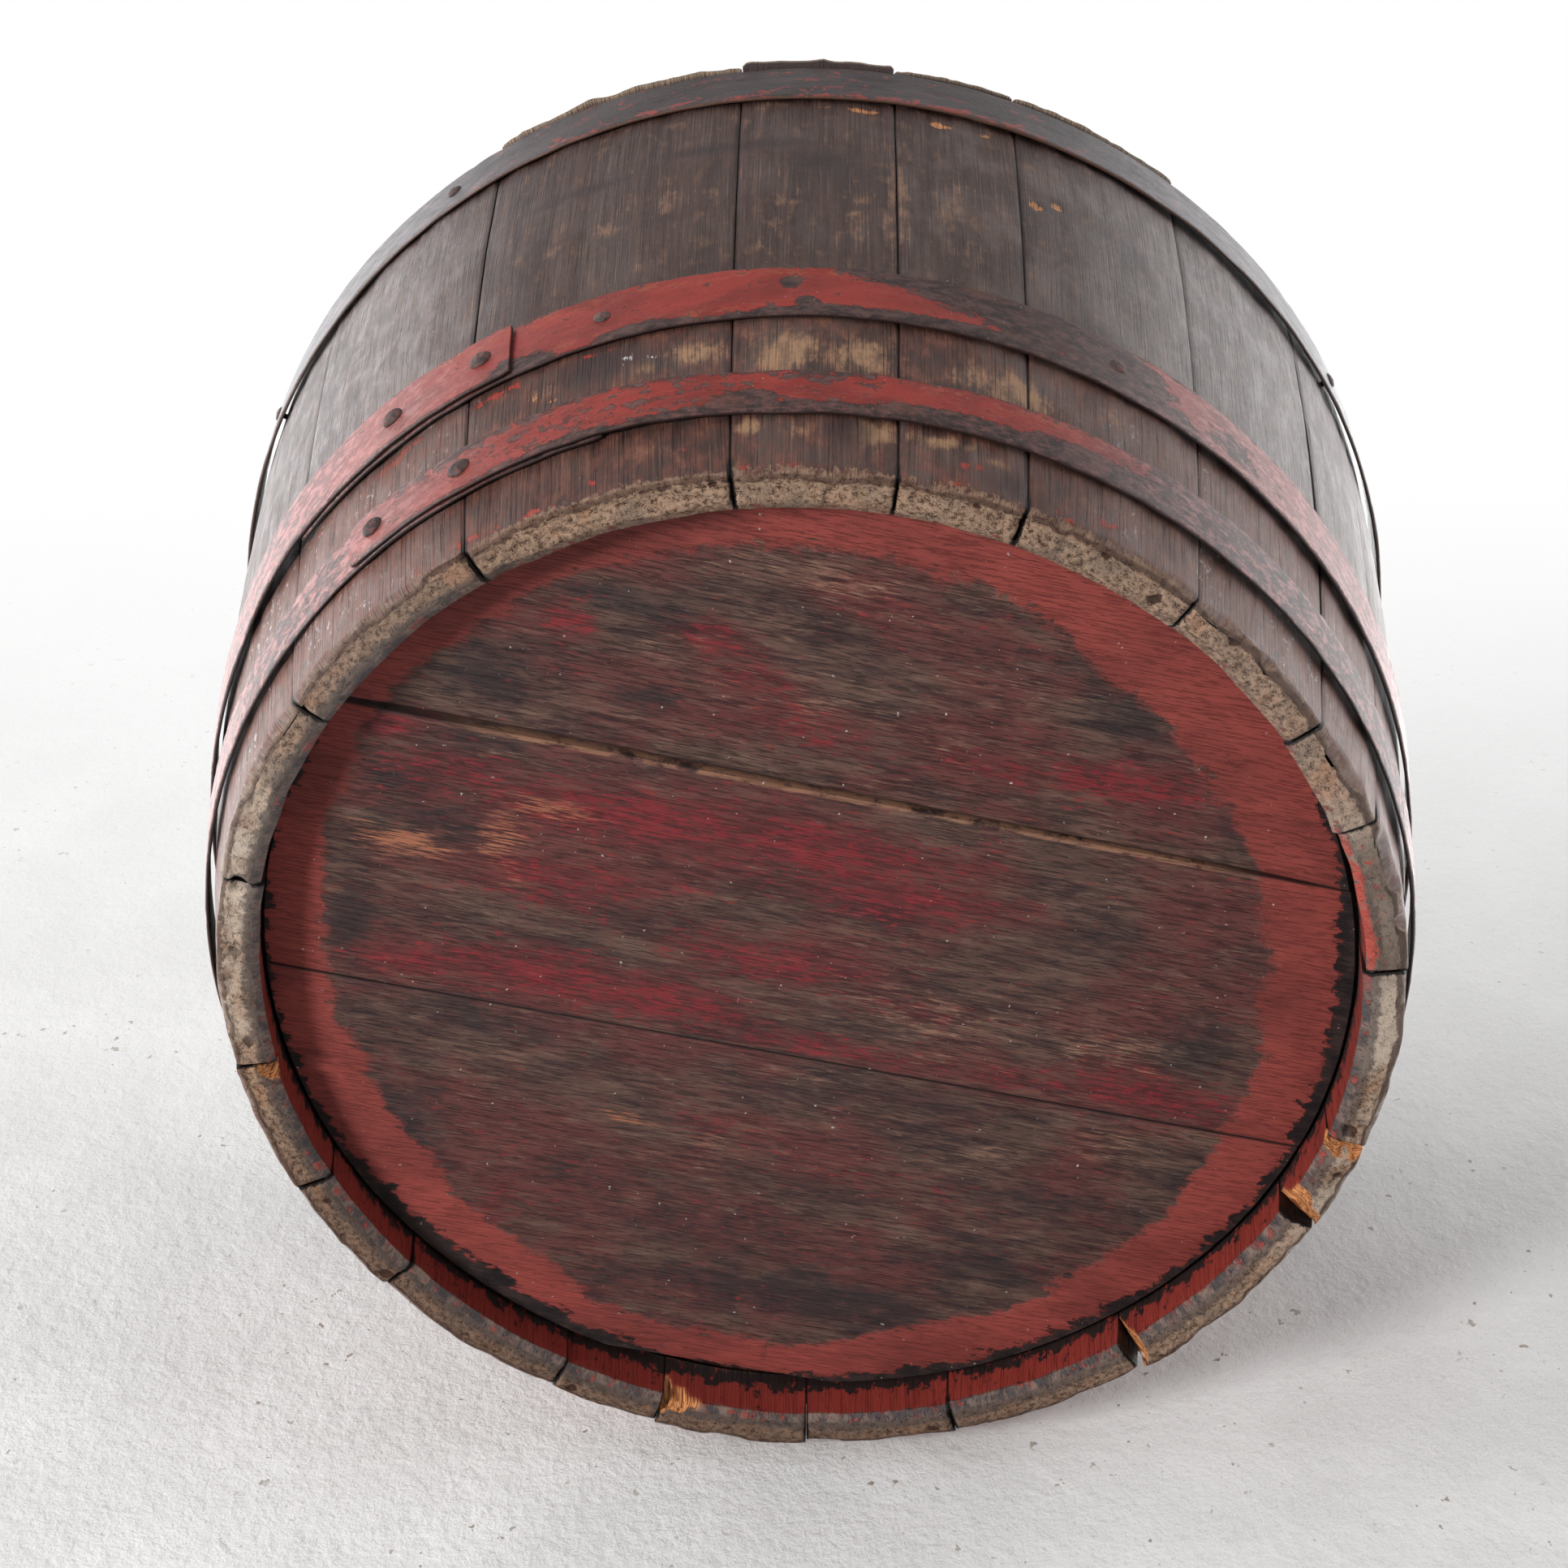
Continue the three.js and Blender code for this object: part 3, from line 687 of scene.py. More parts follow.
GOUGES = (
    (-205, -39, 24, 9, 1.0), (-160, -52, 12, 20, 0.7), (-140, -74, 24, 6, 0.8),
    (-70, 105, 13, 5, 1.0), (-150, -30, 10, 6, 0.5), (-27, 110, 8, 12, 0.4),
)
BLACKENED = (
    (23, -50, 22, 10, 1.0), (-108, -145, 20, 9, 0.8), (-210, -76, 22, 13, 0.8),
    (197, -4, 22, 26, 0.8), (48, 207, 90, 20, 0.9), (-56, 213, 44, 18, 0.7),
    (-187, 140, 24, 44, 0.9), (125, 164, 66, 16, 0.7), (-224, 9, 13, 30, 0.9),
    (176, -140, 14, 30, 0.8), (-125, -194, 36, 10, 0.8), (-182, -141, 24, 18, 0.8),
    (110, -186, 34, 14, 0.8), (155, 110, 60, 15, 0.6), (222, 92, 18, 30, 0.8),
    (-165, 54, 40, 14, 0.6), (130, -57, 40, 14, 0.5), (60, -200, 60, 10, 0.6),
    (0, 165, 120, 30, 0.5), (-90, 150, 50, 26, 0.5), (-194, -56, 30, 20, 0.7), (90, 60, 50, 12, 0.4),
)


def patches(along, square, spots):
    """Strength of the strongest patch at each point, with soft, ragged edges."""
    total = np.zeros_like(along)
    where = np.stack([along, square, np.zeros_like(along)], axis=-1)
    ragged = 1 + 0.35 * noise(where, (30, 90, 0), 300) + 0.25 * noise(where, (80, 260, 0), 301)
    for x, y, half_length, half_width, strength in spots:
        reach = ((along / MM - x) / half_length) ** 2 + ((square / MM - y) / half_width) ** 2
        total = np.maximum(total, strength * np.exp(-0.8 * reach * ragged))
    return total


# The painted ring's inner edge, round the head: (azimuth, radius in millimetres).
RING_INSIDE = ((18, 227), (63, 237), (105, 243), (142, 226), (165, 226), (184, 236),
               (219, 249), (250, 253), (274, 242), (291, 233), (313, 220), (358, 221))
# The ring's flaked, blackened outer band: (azimuth, half width in degrees, depth in millimetres).
FLAKED_BAND = ((133.0, 24.0, 11.0), (4.0, 22.0, 8.0), (72.0, 38.0, 7.0))


def ring_inside(az):
    """Radius of the painted ring's inner edge, smoothly round between its points."""
    total = np.zeros_like(az)
    weights = np.zeros_like(az)
    for centre, radius in RING_INSIDE:
        weight = np.exp(-(turn_gap(az, centre) / 15.0) ** 2) + 1e-9
        total += weight * radius
        weights += weight
    return total / weights * MM


def flaked_band(az):
    """Width of the ring's flaked outer band."""
    depths = [depth * np.exp(-(turn_gap(az, centre) / half) ** 2) for centre, half, depth in FLAKED_BAND]
    return (sum(depths) - 0.5) * MM


def build_board(name):
    box_low, box_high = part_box(name)
    along_cad, square_cad = board_axes(vertices(name))
    whole = head_radius()
    levels = head_levels(whole, box_low.z, box_high.z)
    low_line = joint_line(along_cad, square_cad, -1) if name != BOARDS[0] else None
    high_line = joint_line(along_cad, square_cad, 1) if name != BOARDS[2] else None
    even = np.linspace(0, 1, BOARD_ROWS + 1)
    down = (0.7 * even + 0.3 * (0.5 - 0.5 * np.cos(math.pi * even)))[:, None]
    run = np.linspace(-1, 1, BOARD_COLUMNS + 1)
    run = (0.8 * run + 0.2 * np.sin(0.5 * math.pi * run))[None, :]
    layers = []
    for height, reach in levels:
        tip = 0.996 * reach * (1 - 0.5 * HEAD_OVAL)
        first = -tip if low_line is None else low_line[1]
        last = tip if high_line is None else high_line[1]
        square = first + (last - first) * down
        left, right = (chord_end(side, square, reach) for side in (-1.0, 1.0))
        x = left + (right - left) * (0.5 + 0.5 * run)
        y = np.repeat(square, BOARD_COLUMNS + 1, axis=1)
        if low_line is not None:
            y = y + (1 - down) * low_line[0] * x
        if high_line is not None:
            y = y + down * high_line[0] * x
        layers.append(np.stack([x, y, np.full_like(x, height)], axis=-1))
    lattice = np.stack(layers, axis=1)
    x, y, z = lattice[..., 0], lattice[..., 1], lattice[..., 2]
    seed = 400 + 10 * BOARDS.index(name)
    local = np.stack([y + 0.5 * seed, z, x], axis=-1)
    to_low = np.full_like(x, 1.0) if low_line is None else y - np.polyval(low_line, x)
    to_high = np.full_like(x, 1.0) if high_line is None else np.polyval(high_line, x) - y
    joint = np.minimum(to_low, to_high)
    angle = np.arctan2(y, x) + HEAD_ANGLE
    rim = levels[0][1] * head_stretch(angle) - np.hypot(x, y)
    face = 1 - smooth(z, box_low.z, box_low.z + 3 * MM)

    lift = 0.5 * noise(local, (30, 30, 4), seed) + 0.22 * noise(local, (150, 30, 7), seed + 1)
    gouge = patches(x, y, GOUGES)
    lift += 0.9 * gouge * (0.6 + 0.4 * noise(local, (500, 30, 60), seed + 2))
    lift += (1 - smooth(joint, 0, 1.8 * MM)) * 0.5
    z = z + face * lift * MM
    proud = np.full_like(x, 1.0)
    if name == "head_board_top":
        z = z + UPPER_DROP * (1 - smooth(to_high, 8 * MM, 70 * MM)) * smooth(rim, 2 * MM, 40 * MM)
    if name == "head_board_middle":
        proud = to_low
        z = z - 0.4 * MM * face * (1 - smooth(to_low, 4 * MM, 40 * MM)) * smooth(rim, 5 * MM, 30 * MM)
    az = np.degrees(angle)
    values = {
        "grain": local, "rim": rim, "joint": joint, "proud": proud, "gouge": gouge,
        "ring": np.hypot(x, y) - ring_inside(az), "band": rim - flaked_band(az),
        "back": smooth(z, box_low.z + 5 * MM, box_low.z + 9 * MM),
        "crimson": patches(x, y, CRIMSON), "bare": patches(x, y, BARE),
        "black": patches(x, y, BLACKENED),
    }
    c, s = math.cos(HEAD_ANGLE), math.sin(HEAD_ANGLE)
    skin_piece(name, np.stack([x * c - y * s, x * s + y * c, z], axis=-1), values, "head_oak")


# ---- Materials ----------------------------------------------------------------------------

class Value:
    """An output of a shader node. Arithmetic with it adds further nodes."""

    def __init__(self, shader, socket):
        self.shader = shader
        self.socket = socket

    def __add__(self, other):
        return self.shader.calc("ADD", self, other)

    def __mul__(self, other):
        return self.shader.calc("MULTIPLY", self, other)

    def __sub__(self, other):
        return self.shader.calc("SUBTRACT", self, other)

    def __rsub__(self, other):
        return self.shader.calc("SUBTRACT", other, self)

    __radd__, __rmul__ = __add__, __mul__

    def step(self, low, high, reach=1.0):
        """0 below low, reach above high; the other way round when low is above high."""
        values = (self, low, high, 0.0, reach)
        return self.shader.node("MapRange", *values, interpolation_type="SMOOTHSTEP")

    def sway(self, reach):
        """How far a noise is from its middle, times reach."""
        return (self - 0.5) * reach


def linear(colour):
    """A colour in display values from 0 to 255 as linear light. Node outputs are left alone."""
    if isinstance(colour, Value):
        return colour
    return tuple((value / 255.0) ** 2.2 for value in colour)


class Shader:
    """A material or world being built. Each method adds a node and gives back its output."""

    def __init__(self, owner):
        owner.use_nodes = True
        self.owner = owner
        self.tree = owner.node_tree

    def feed(self, socket, value):
        if isinstance(value, Value):
            self.tree.links.new(value.socket, socket)
        elif socket.type == "RGBA":
            socket.default_value = (*value, 1.0)
        else:
            socket.default_value = value

    def node(self, kind, *values, out=0, named=None, **settings):
        """Adds a node, sets it, feeds its inputs in order and by name, and gives one output."""
        node = self.tree.nodes.new("ShaderNode" + kind)
        for key, value in settings.items():
            setattr(node, key, value)
        for key, value in [*enumerate(values), *(named or {}).items()]:
            self.feed(node.inputs[key], value)
        return Value(self, node.outputs[out])

    def read(self, name, field="Fac"):
        return self.node("Attribute", attribute_name=name, out=field)

    def reads(self, names):
        return [self.read(name) for name in names.split()]

    def calc(self, operation, *values):
        return self.node("Math", *values, operation=operation)

    def most(self, *values):
        total = values[0]
        for value in values[1:]:
            total = self.calc("MAXIMUM", total, value)
        return total

    def split(self, vector):
        node = self.node("SeparateXYZ", vector).socket.node
        return [Value(self, socket) for socket in node.outputs]

    def noise(self, vector, scale, detail=2.0, rough=0.55, warp=0.0):
        """Noise from 0 to 1. scale is cells per metre, one number or one for each axis."""
        where = self.node("VectorMath", vector, tuple(np.full(3, scale, float)), operation="MULTIPLY")
        return self.node("TexNoise", named={"Vector": where, "Scale": 1.0, "Detail": detail,
                                            "Roughness": rough, "Distortion": warp})

    def mix(self, amount, first, second):
        """From the first linear colour to the second."""
        return self.node("Mix", amount, named={6: first, 7: second}, out=2, data_type="RGBA")

    def coats(self, colour, *layers):
        """Lays (amount, display colour) layers over a display colour, one after another."""
        colour = linear(colour)
        for amount, coat in layers:
            colour = self.mix(amount, colour, linear(coat))
        return colour

    def bump(self, height, depth):
        """A bump whose height of 1 stands for depth metres."""
        return self.node("Bump", named={"Strength": 1.0, "Distance": depth, "Height": height})

    def finish(self, colour, rough, height, depth, specular=0.5):
        """Connects the surface, with a bump whose height of 1 stands for depth metres."""
        surface = {"Base Color": colour, "Roughness": rough, "Specular IOR Level": specular,
                   "Normal": self.bump(height, depth)}
        for key, value in surface.items():
            self.feed(self.tree.nodes["Principled BSDF"].inputs[key], value)
        return self.owner


HEAD_RED = (138, 64, 58)
WOOD_BUMP = 0.8 * MM
IRON_BUMP = 0.6 * MM


def end_grain(s, grain, stain):
    """Weathered end grain, a dust-pale tan with dark pits, and its height."""
    fine = s.noise(grain, 1300, 3.0, 0.7)
    clumps = s.noise(grain, 300, 4.0, 0.7)
    cloud = s.noise(grain, 34, 4.0, 0.6)
    rot = s.noise(grain, 95, 6.0, 0.7)
    pits = (fine * 0.5 + clumps * 0.5).step(0.46, 0.38)
    colour = s.coats(
        (100, 78, 64),
        (clumps.step(0.34, 0.66), (152, 126, 106)),
        (cloud.step(0.50, 0.66, 0.65), (106, 92, 82)),
        (cloud.step(0.44, 0.34, 0.5), (156, 112, 84)),
        (rot.step(0.53, 0.66, 0.65), (84, 63, 51)),
        (fine.step(0.58, 0.72, 0.55), (222, 202, 186)),
        (pits * 0.8, (50, 35, 29)),
        (stain, (70, 50, 42)),
    )
    return colour, fine * 0.5 + clumps * 1.2 + pits * -0.6


def stave_shader():
    s = Shader(bpy.data.materials.new("old_stave_oak"))
    grain = s.read("grain", "Vector")
    z = s.split(grain)[2]
    depth, inside, edge, az, number = s.reads("depth inside edge az number")
    left, right, upper, red_end = s.reads("left right upper red_end")
    tone = s.node("TexWhiteNoise", named={"W": number}, noise_dimensions="1D")
    flank = left + right
    outer = 1.0 - inside
    low = z.step(0.150, 0.100)
    fine = s.noise(grain, (1150, 300, 18), 4.0, 0.7)
    bands = s.noise(grain, (210, 80, 6), 4.0, 0.6)
    cloud = s.noise(grain, (24, 20, 14), 5.0, 0.6)
    blotch = s.noise(grain, (110, 60, 60), 6.0, 0.7)
    chips = s.noise(grain, (170, 150, 120), 6.0, 0.7)
    streaks = s.noise(grain, (90, 60, 34), 8.0, 0.72)
    lines = fine.step(0.45, 0.33)

    # Outside: brown and grey weathered oak with fine lines along the stave. Worn places keep
    # the light wood between the dark lines. The flanks carry painted sheen: a grey mottle on the
    # right, pale streaks on both, and pale scuffs low down that are partly painted sheen.
    ragged, combed = blotch.sway(2.6), fine.sway(1.8)
    bare = (s.read("bare") + ragged + combed).step(0.30, 1.25, 0.75)
    bare = s.most(bare, blotch.step(0.58, 0.70, 0.5) * fine.step(0.48, 0.6))
    tan = s.coats((124, 95, 77), (z.step(0.12, 0.10), (140, 110, 85)),
                  (blotch.step(0.55, 0.42, 0.6), (104, 76, 58)))
    stain = s.read("stain") + blotch.sway(1.0) + cloud.sway(1.2)
    chalk = s.read("chalk") + s.noise(grain, (500, 300, 200), 4.0, 0.7).sway(3.4)
    red = (s.read("paint") + chips.sway(3.0)).step(0.66, 0.76)
    edge_red = z.step(0.013, 0.004) * chips.step(0.56, 0.61)
    red = s.most(red, edge_red * 0.8, low * chips.step(0.66, 0.69))
    torn = s.read("torn") + ragged * 0.6 + combed * 0.6
    torn_wood = s.coats((120, 74, 48), (fine.step(0.4, 0.6), (184, 130, 88)))
    # pale scuff marks for the flanks, partly real wear and partly painted sheen
    scuffs_and_sheen = s.noise(grain, (260, 190, 120), 8.0, 0.78).step(0.56, 0.60, 0.7)
    scuffs_and_sheen = scuffs_and_sheen * cloud.step(0.50, 0.60)
    specks = s.noise(grain, (420, 300, 300), 2.0).step(0.73, 0.77, 0.5)
    colour = s.coats(
        (48, 34, 32),
        (bands.step(0.30, 0.70), (66, 49, 44)),
        (cloud.step(0.44, 0.64) * (0.12 + tone * 0.4), (102, 91, 88)),
        (cloud.step(0.47, 0.36, 0.6), (50, 39, 38)),
        (blotch.step(0.50, 0.66, 0.35), (110, 84, 70)),
        (fine.step(0.54, 0.68, 0.22), (140, 120, 108)),
        (lines * 0.40, (36, 28, 28)),
        (low * blotch.step(0.38, 0.66, 0.6), (98, 60, 50)),
        # painted sheen: a grey mottle on the right flank
        (right * blotch.step(0.36, 0.62, 0.34), (118, 108, 104)),
        (bare, tan),
        (stain.step(0.20, 0.9, 0.7), (40, 33, 34)),
        (red, (132, 52, 45)),
        (chalk.step(0.62, 1.1, 0.7), (196, 192, 194)),
        (torn.step(0.40, 0.75), torn_wood),
        (flank * low * chips.step(0.38, 0.52, 0.85), (98, 62, 50)),
        # painted sheen: pale streaks on both flanks
        (flank * (1.0 + low * -0.5) * streaks.step(0.42, 0.68, 0.36), (168, 158, 160)),
        # pale scuffs low on the flanks, partly real wear and partly painted sheen
        (flank * low * scuffs_and_sheen, (206, 198, 200)),
        (specks, (180, 168, 162)),
    )
    outer_height = fine * 0.7 + bands * 0.6 + blotch * 0.6 + lines * -0.5 + red * 0.3

    # Chime end grain: dark in rotted pits and along the lower side, paler with dust and
    # painted light at the left and right ends, and with painted shade on the upper left.
    under = az.step(40, 75) * az.step(176, 150) * 0.55
    rot = s.most((s.read("rot") + chips.sway(0.9)).step(0.3, 0.55), under)
    clean, end_height = end_grain(s, grain, rot)
    lit = az.step(172, 182) * az.step(214, 202)
    # paler with dust and painted light on the left and right ends
    dust_and_light = (lit + s.read("right_end")) * cloud.step(0.38, 0.56, 0.75)
    # painted shade on the upper left of the end grain
    shaded = az.step(212, 222) * az.step(250, 236)
    clean = s.coats(clean, (dust_and_light, (186, 170, 154)), (shaded * 0.4, (96, 78, 68)))
    far_corner = (depth + chips.sway(0.014) + upper * -0.006).step(0.0105, 0.0135)
    near_corner = (depth + chips.sway(0.016) + right * -0.0025).step(0.0032, 0.0008)
    old_red = (red_end + chips.sway(4.0)).step(1.25, 1.35) * depth.step(0.006, 0.012)
    end_colour = s.coats(
        clean,
        (far_corner * 0.8, (78, 68, 64)),
        (red_end * 0.75, (86, 72, 64)),
        (old_red, (150, 62, 50)),
        (near_corner * 0.8, (66, 48, 42)),
    )

    # The greyed bevel, the painted wall below the head, and the tub's wine-dark inside.
    bevel = s.coats(
        (66, 60, 60),
        (blotch.step(0.42, 0.62), (112, 94, 86)),
        (chips.step(0.56, 0.62), HEAD_RED),
        (upper * chips.step(0.62, 0.50), clean),
        (red_end * chips.step(0.38, 0.44), (158, 64, 52)),
    )
    flaked = (chips + z.step(0.016, 0.030, 0.22)).step(0.60, 0.64)
    wall = s.coats((122, 50, 44), (bands.step(0.5, 0.7) * 0.5, (104, 42, 38)), (flaked, (44, 35, 34)))
    tub = s.coats(
        (62, 38, 38),
        (bands.step(0.35, 0.65), (92, 62, 54)),
        (z.step(0.30, 0.385) * cloud.step(0.3, 0.6), (136, 110, 88)),
        (lines * 0.7, (34, 24, 24)),
    )
    at_wall = (z + chips.sway(0.006)).step(0.0045, 0.0065)
    lining = s.coats(bevel, (at_wall, wall), (z.step(CROZE[0], CROZE[0] + 0.2 * MM), tub))

    # What the ends and joints look like, over all of that.
    at_end = z.step(0.0022, 0.0009)
    crumbs = s.noise(grain, (260, 200, 260), 7.0, 0.75)
    at_arris = (z + chips.sway(-0.010) + crumbs.sway(-0.020)).step(0.0040, 0.0028) * outer
    above_hoop = z.step(0.3805, 0.3825) * outer
    gape = (edge + s.read("crack") * -0.0016 + chips.sway(0.004)).step(0.0004, -0.0004)
    sawn = s.coats((92, 75, 62), (fine.step(0.4, 0.6), (136, 116, 97)),
                   (chips.step(0.46, 0.62, 0.6), (96, 88, 84)))
    splinter = s.coats((120, 66, 40), (fine.step(0.4, 0.6), (206, 142, 92)))
    colour = s.coats(
        colour,
        (inside, lining),
        (edge.step(0.0009, 0.0002, 0.85), (34, 26, 25)),
        (at_arris, s.coats(clean, (0.5, (82, 60, 50)))),
        (above_hoop * 0.8, (52, 43, 43)),
        (at_end, end_colour),
        (gape * z.step(0.016, 0.006), (26, 20, 19)),
        (s.read("sawn").step(0.0028, 0.0008), sawn),
        (s.read("fresh"), splinter),
    )
    height = outer_height * (1.0 - at_end) + end_height * at_end
    rough = 0.32 + blotch * 0.4 + at_end * 0.3
    return s.finish(colour, rough, height, WOOD_BUMP, 0.15 + flank * (0.8 + low * -0.4))


def head_shader():
    s = Shader(bpy.data.materials.new("painted_head_oak"))
    grain = s.read("grain", "Vector")
    rim, ring = s.reads("rim ring")
    fine = s.noise(grain, (1250, 200, 75), 4.0, 0.7, 0.3)
    streak = s.noise(grain, (520, 60, 80), 7.0, 0.72, 0.5)
    figure = s.noise(grain, (110, 30, 18), 7.0, 0.7, 0.8)
    cloud = s.noise(grain, (22, 10, 12), 5.0, 0.6)
    rag = s.noise(grain, (120, 60, 70), 6.0, 0.7)
    crisp = s.noise(grain, (430, 60, 130), 8.0, 0.76)
    lines = fine.step(0.48, 0.38)
    blend, combed, ragged = streak.sway(2.6), fine.sway(3.0), rag.sway(2.0)

    black = s.read("black") + ragged + blend * 0.3
    tint = s.read("crimson") + crisp.sway(1.4)
    crimson = s.read("crimson") + crisp.sway(5.5) + combed * 0.5 + ragged
    bare = s.read("bare") + blend + combed + ragged
    gouge = s.read("gouge") + blend * 1.0 + combed * 1.2
    gouge = s.read("gouge").step(0.12, 0.5) * gouge.step(0.45, 1.15, 0.85)
    wood = s.coats(
        (60, 44, 43),
        (figure.step(0.38, 0.62), (94, 71, 62)),
        (cloud.step(0.40, 0.60, 0.70), (96, 50, 48)),
        (figure.step(0.56, 0.70, 0.5), (106, 90, 78)),
        (streak.step(0.54, 0.66, 0.40), (128, 104, 90)),
        (lines * 0.62, (34, 26, 27)),
        (black.step(0.15, 0.95, 0.8), (44, 39, 40)),
        (tint.step(0.0, 0.8, 0.65), (92, 38, 40)),
        (crimson.step(0.68, 1.12, 0.72), (126, 40, 47)),
        (crisp.step(0.60, 0.64) * cloud.step(0.42, 0.6) * 0.6, (138, 52, 50)),
        (bare.step(0.55, 1.6, 0.7), (146, 114, 94)),
        (gouge, (154, 98, 74)),
    )
    red = s.coats(
        HEAD_RED,
        (cloud.step(0.4, 0.62), (116, 54, 49)),
        (streak.step(0.58, 0.72, 0.25), (150, 82, 76)),
        (rag.step(0.40, 0.30, 0.5), (100, 46, 42)),
        (lines * 0.22, (84, 38, 36)),
    )
    thin = rag + streak.sway(0.5) + ring.step(0.010, 0.0, 0.10)
    painted = (ring + rag.sway(0.026) + cloud.sway(0.030)).step(-0.0015, 0.0035)
    painted = painted * thin.step(0.76, 0.68)
    flaked = (s.read("band") + rag.sway(0.030) + crisp.sway(0.010)).step(0.0010, -0.0004)
    dark = s.coats((34, 28, 29), (rag.step(0.4, 0.62), (58, 46, 44)))
    proud = s.read("proud").step(0.0026, 0.0018) * rim.step(0.035, 0.075)
    proud = proud * s.split(grain)[2].step(-0.36, -0.10, 0.85)
    specks = s.noise(grain, (330, 100, 330), 2.0).step(0.745, 0.765)
    back = s.coats((74, 44, 42), (figure.step(0.36, 0.64), (104, 72, 62)), (lines * 0.6, (36, 26, 26)))
    colour = s.coats(
        wood,
        (painted, red),
        (flaked, dark),
        (s.read("joint").step(0.0012, 0.0002, 0.85), (40, 29, 28)),
        (proud * rag.step(0.36, 0.5, 0.8), (146, 106, 84)),
        (specks * 0.8, (186, 174, 168)),
        (s.read("back"), back),
    )
    height = fine * 0.7 + streak * 0.6 + lines * -0.4 + rag * 0.5 + painted * 0.5 + flaked * -0.6
    return s.finish(colour, 0.42 + rag * 0.3, height, WOOD_BUMP, 0.3)


def red_hoop_shader():
    s = Shader(bpy.data.materials.new("painted_hoop_iron"))
    strip = s.read("strip", "Vector")
    edge, outer, gone, mottle, left, right = s.reads("edge outer worn mottle left right")
    flank = left + right
    chips = s.noise(strip, (110, 170, 1), 6.0, 0.7, 0.3)
    small = s.noise(strip, (420, 520, 1), 5.0, 0.65)
    cloud = s.noise(strip, (26, 40, 1), 5.0, 0.6)
    brushed = s.noise(strip, (60, 800, 1), 3.0, 0.6)
    streaky = s.noise(strip, (160, 620, 1), 6.0, 0.75)
    patchy = s.noise(strip, (120, 170, 1), 8.0, 0.75)
    red = s.coats(
        (120, 47, 42),
        (cloud.step(0.4, 0.62), (100, 41, 37)),
        (brushed.step(0.52, 0.68, 0.25), (128, 66, 58)),
        (small.step(0.56, 0.68, 0.45), (86, 37, 34)),
        (edge.step(0.014, 0.003) * chips.step(0.48, 0.60, 0.5), (140, 76, 54)),
    )
    iron = s.coats(
        (46, 38, 38),
        (chips.step(0.4, 0.62), (72, 56, 53)),
        (small.step(0.54, 0.68, 0.25), (104, 84, 80)),
        (cloud.step(0.55, 0.68, 0.4), (90, 58, 48)),
    )
    wear = chips + edge.step(0.006, 0.0004, 0.12) + s.most(gone - 0.25, 0.0) * 0.60
    wear = wear + small.sway(0.12 + gone * 0.06)
    worn = s.most(wear.step(0.63, 0.655), (edge + small.sway(0.004)).step(0.0012, 0.0006, 0.8))
    mottled = mottle * (streaky + chips.sway(0.6)).step(0.50, 0.62)
    colour = s.coats(
        red,
        (worn, iron),
        (mottled * 0.75, (132, 78, 75)),
        # painted sheen: pale pink patches on the left and right flanks
        (flank * patchy.step(0.47, 0.60, 0.45), (182, 128, 126)),
        (flank * mottle * patchy.step(0.51, 0.46, 0.95), (62, 47, 48)),
        (s.noise(strip, (500, 500, 1), 2.0).step(0.72, 0.76, 0.5), (186, 166, 162)),
        (outer.step(0.75, 0.3), (44, 33, 31)),
    )
    height = worn * -0.9 + small * 0.5 + brushed * 0.2 + chips * 0.6
    rough = 0.30 + small * 0.3 + worn * 0.10
    return s.finish(colour, rough, height, IRON_BUMP, 0.12 + flank * 0.70)


def black_hoop_shader():
    s = Shader(bpy.data.materials.new("dark_hoop_iron"))
    strip = s.read("strip", "Vector")
    edge, az, outer, rise, left, right = s.reads("edge az outer rise left right")
    flank = left + right
    chips = s.noise(strip, (90, 140, 1), 6.0, 0.7, 0.4)
    small = s.noise(strip, (420, 520, 1), 4.0, 0.65)
    cloud = s.noise(strip, (22, 34, 1), 5.0, 0.6)
    brushed = s.noise(strip, (40, 700, 1), 3.0, 0.6)
    low_edge = edge.step(0.013, 0.001) * rise.step(0.6, 0.4)
    zone = az.step(226, 262) * az.step(302, 280)
    flecks = chips + low_edge * zone * 0.11 + zone * 0.015 + small.sway(0.5)
    colour = s.coats(
        (42, 35, 36),
        (cloud.step(0.38, 0.64), (58, 50, 51)),
        (brushed.step(0.54, 0.7, 0.25), (84, 76, 78)),
        (small.step(0.56, 0.70, 0.5), (84, 60, 54)),
        (chips.step(0.55, 0.66, 0.55), (74, 50, 44)),
        (flecks.step(0.625, 0.655) * 0.8, (128, 46, 44)),
        # painted sheen: blue-grey patches on the left and right flanks
        (flank * chips.step(0.38, 0.62, 0.4), (138, 136, 145)),
        (outer.step(0.75, 0.3), (44, 34, 32)),
        (edge.step(0.0014, 0.0004, 0.5), (90, 66, 54)),
    )
    height = small * 0.6 + brushed * 0.2 + chips * 0.8
    return s.finish(colour, 0.28 + small * 0.3, height, IRON_BUMP, 0.25 + flank * 0.75)


def fastener_shader():
    s = Shader(bpy.data.materials.new("hammered_nail_iron"))
    where = s.node("TexCoord", out="Object")
    small = s.noise(where, 500, 4.0, 0.6)
    cloud = s.noise(where, 120, 3.0)
    colour = s.coats(
        (46, 36, 35),
        (cloud.step(0.4, 0.6), (76, 54, 49)),
        (small.step(0.54, 0.66, 0.6), (108, 54, 48)),
        (small.step(0.42, 0.32, 0.7), (36, 30, 30)),
    )
    return s.finish(colour, 0.45 + small * 0.25, small, IRON_BUMP, 0.35)


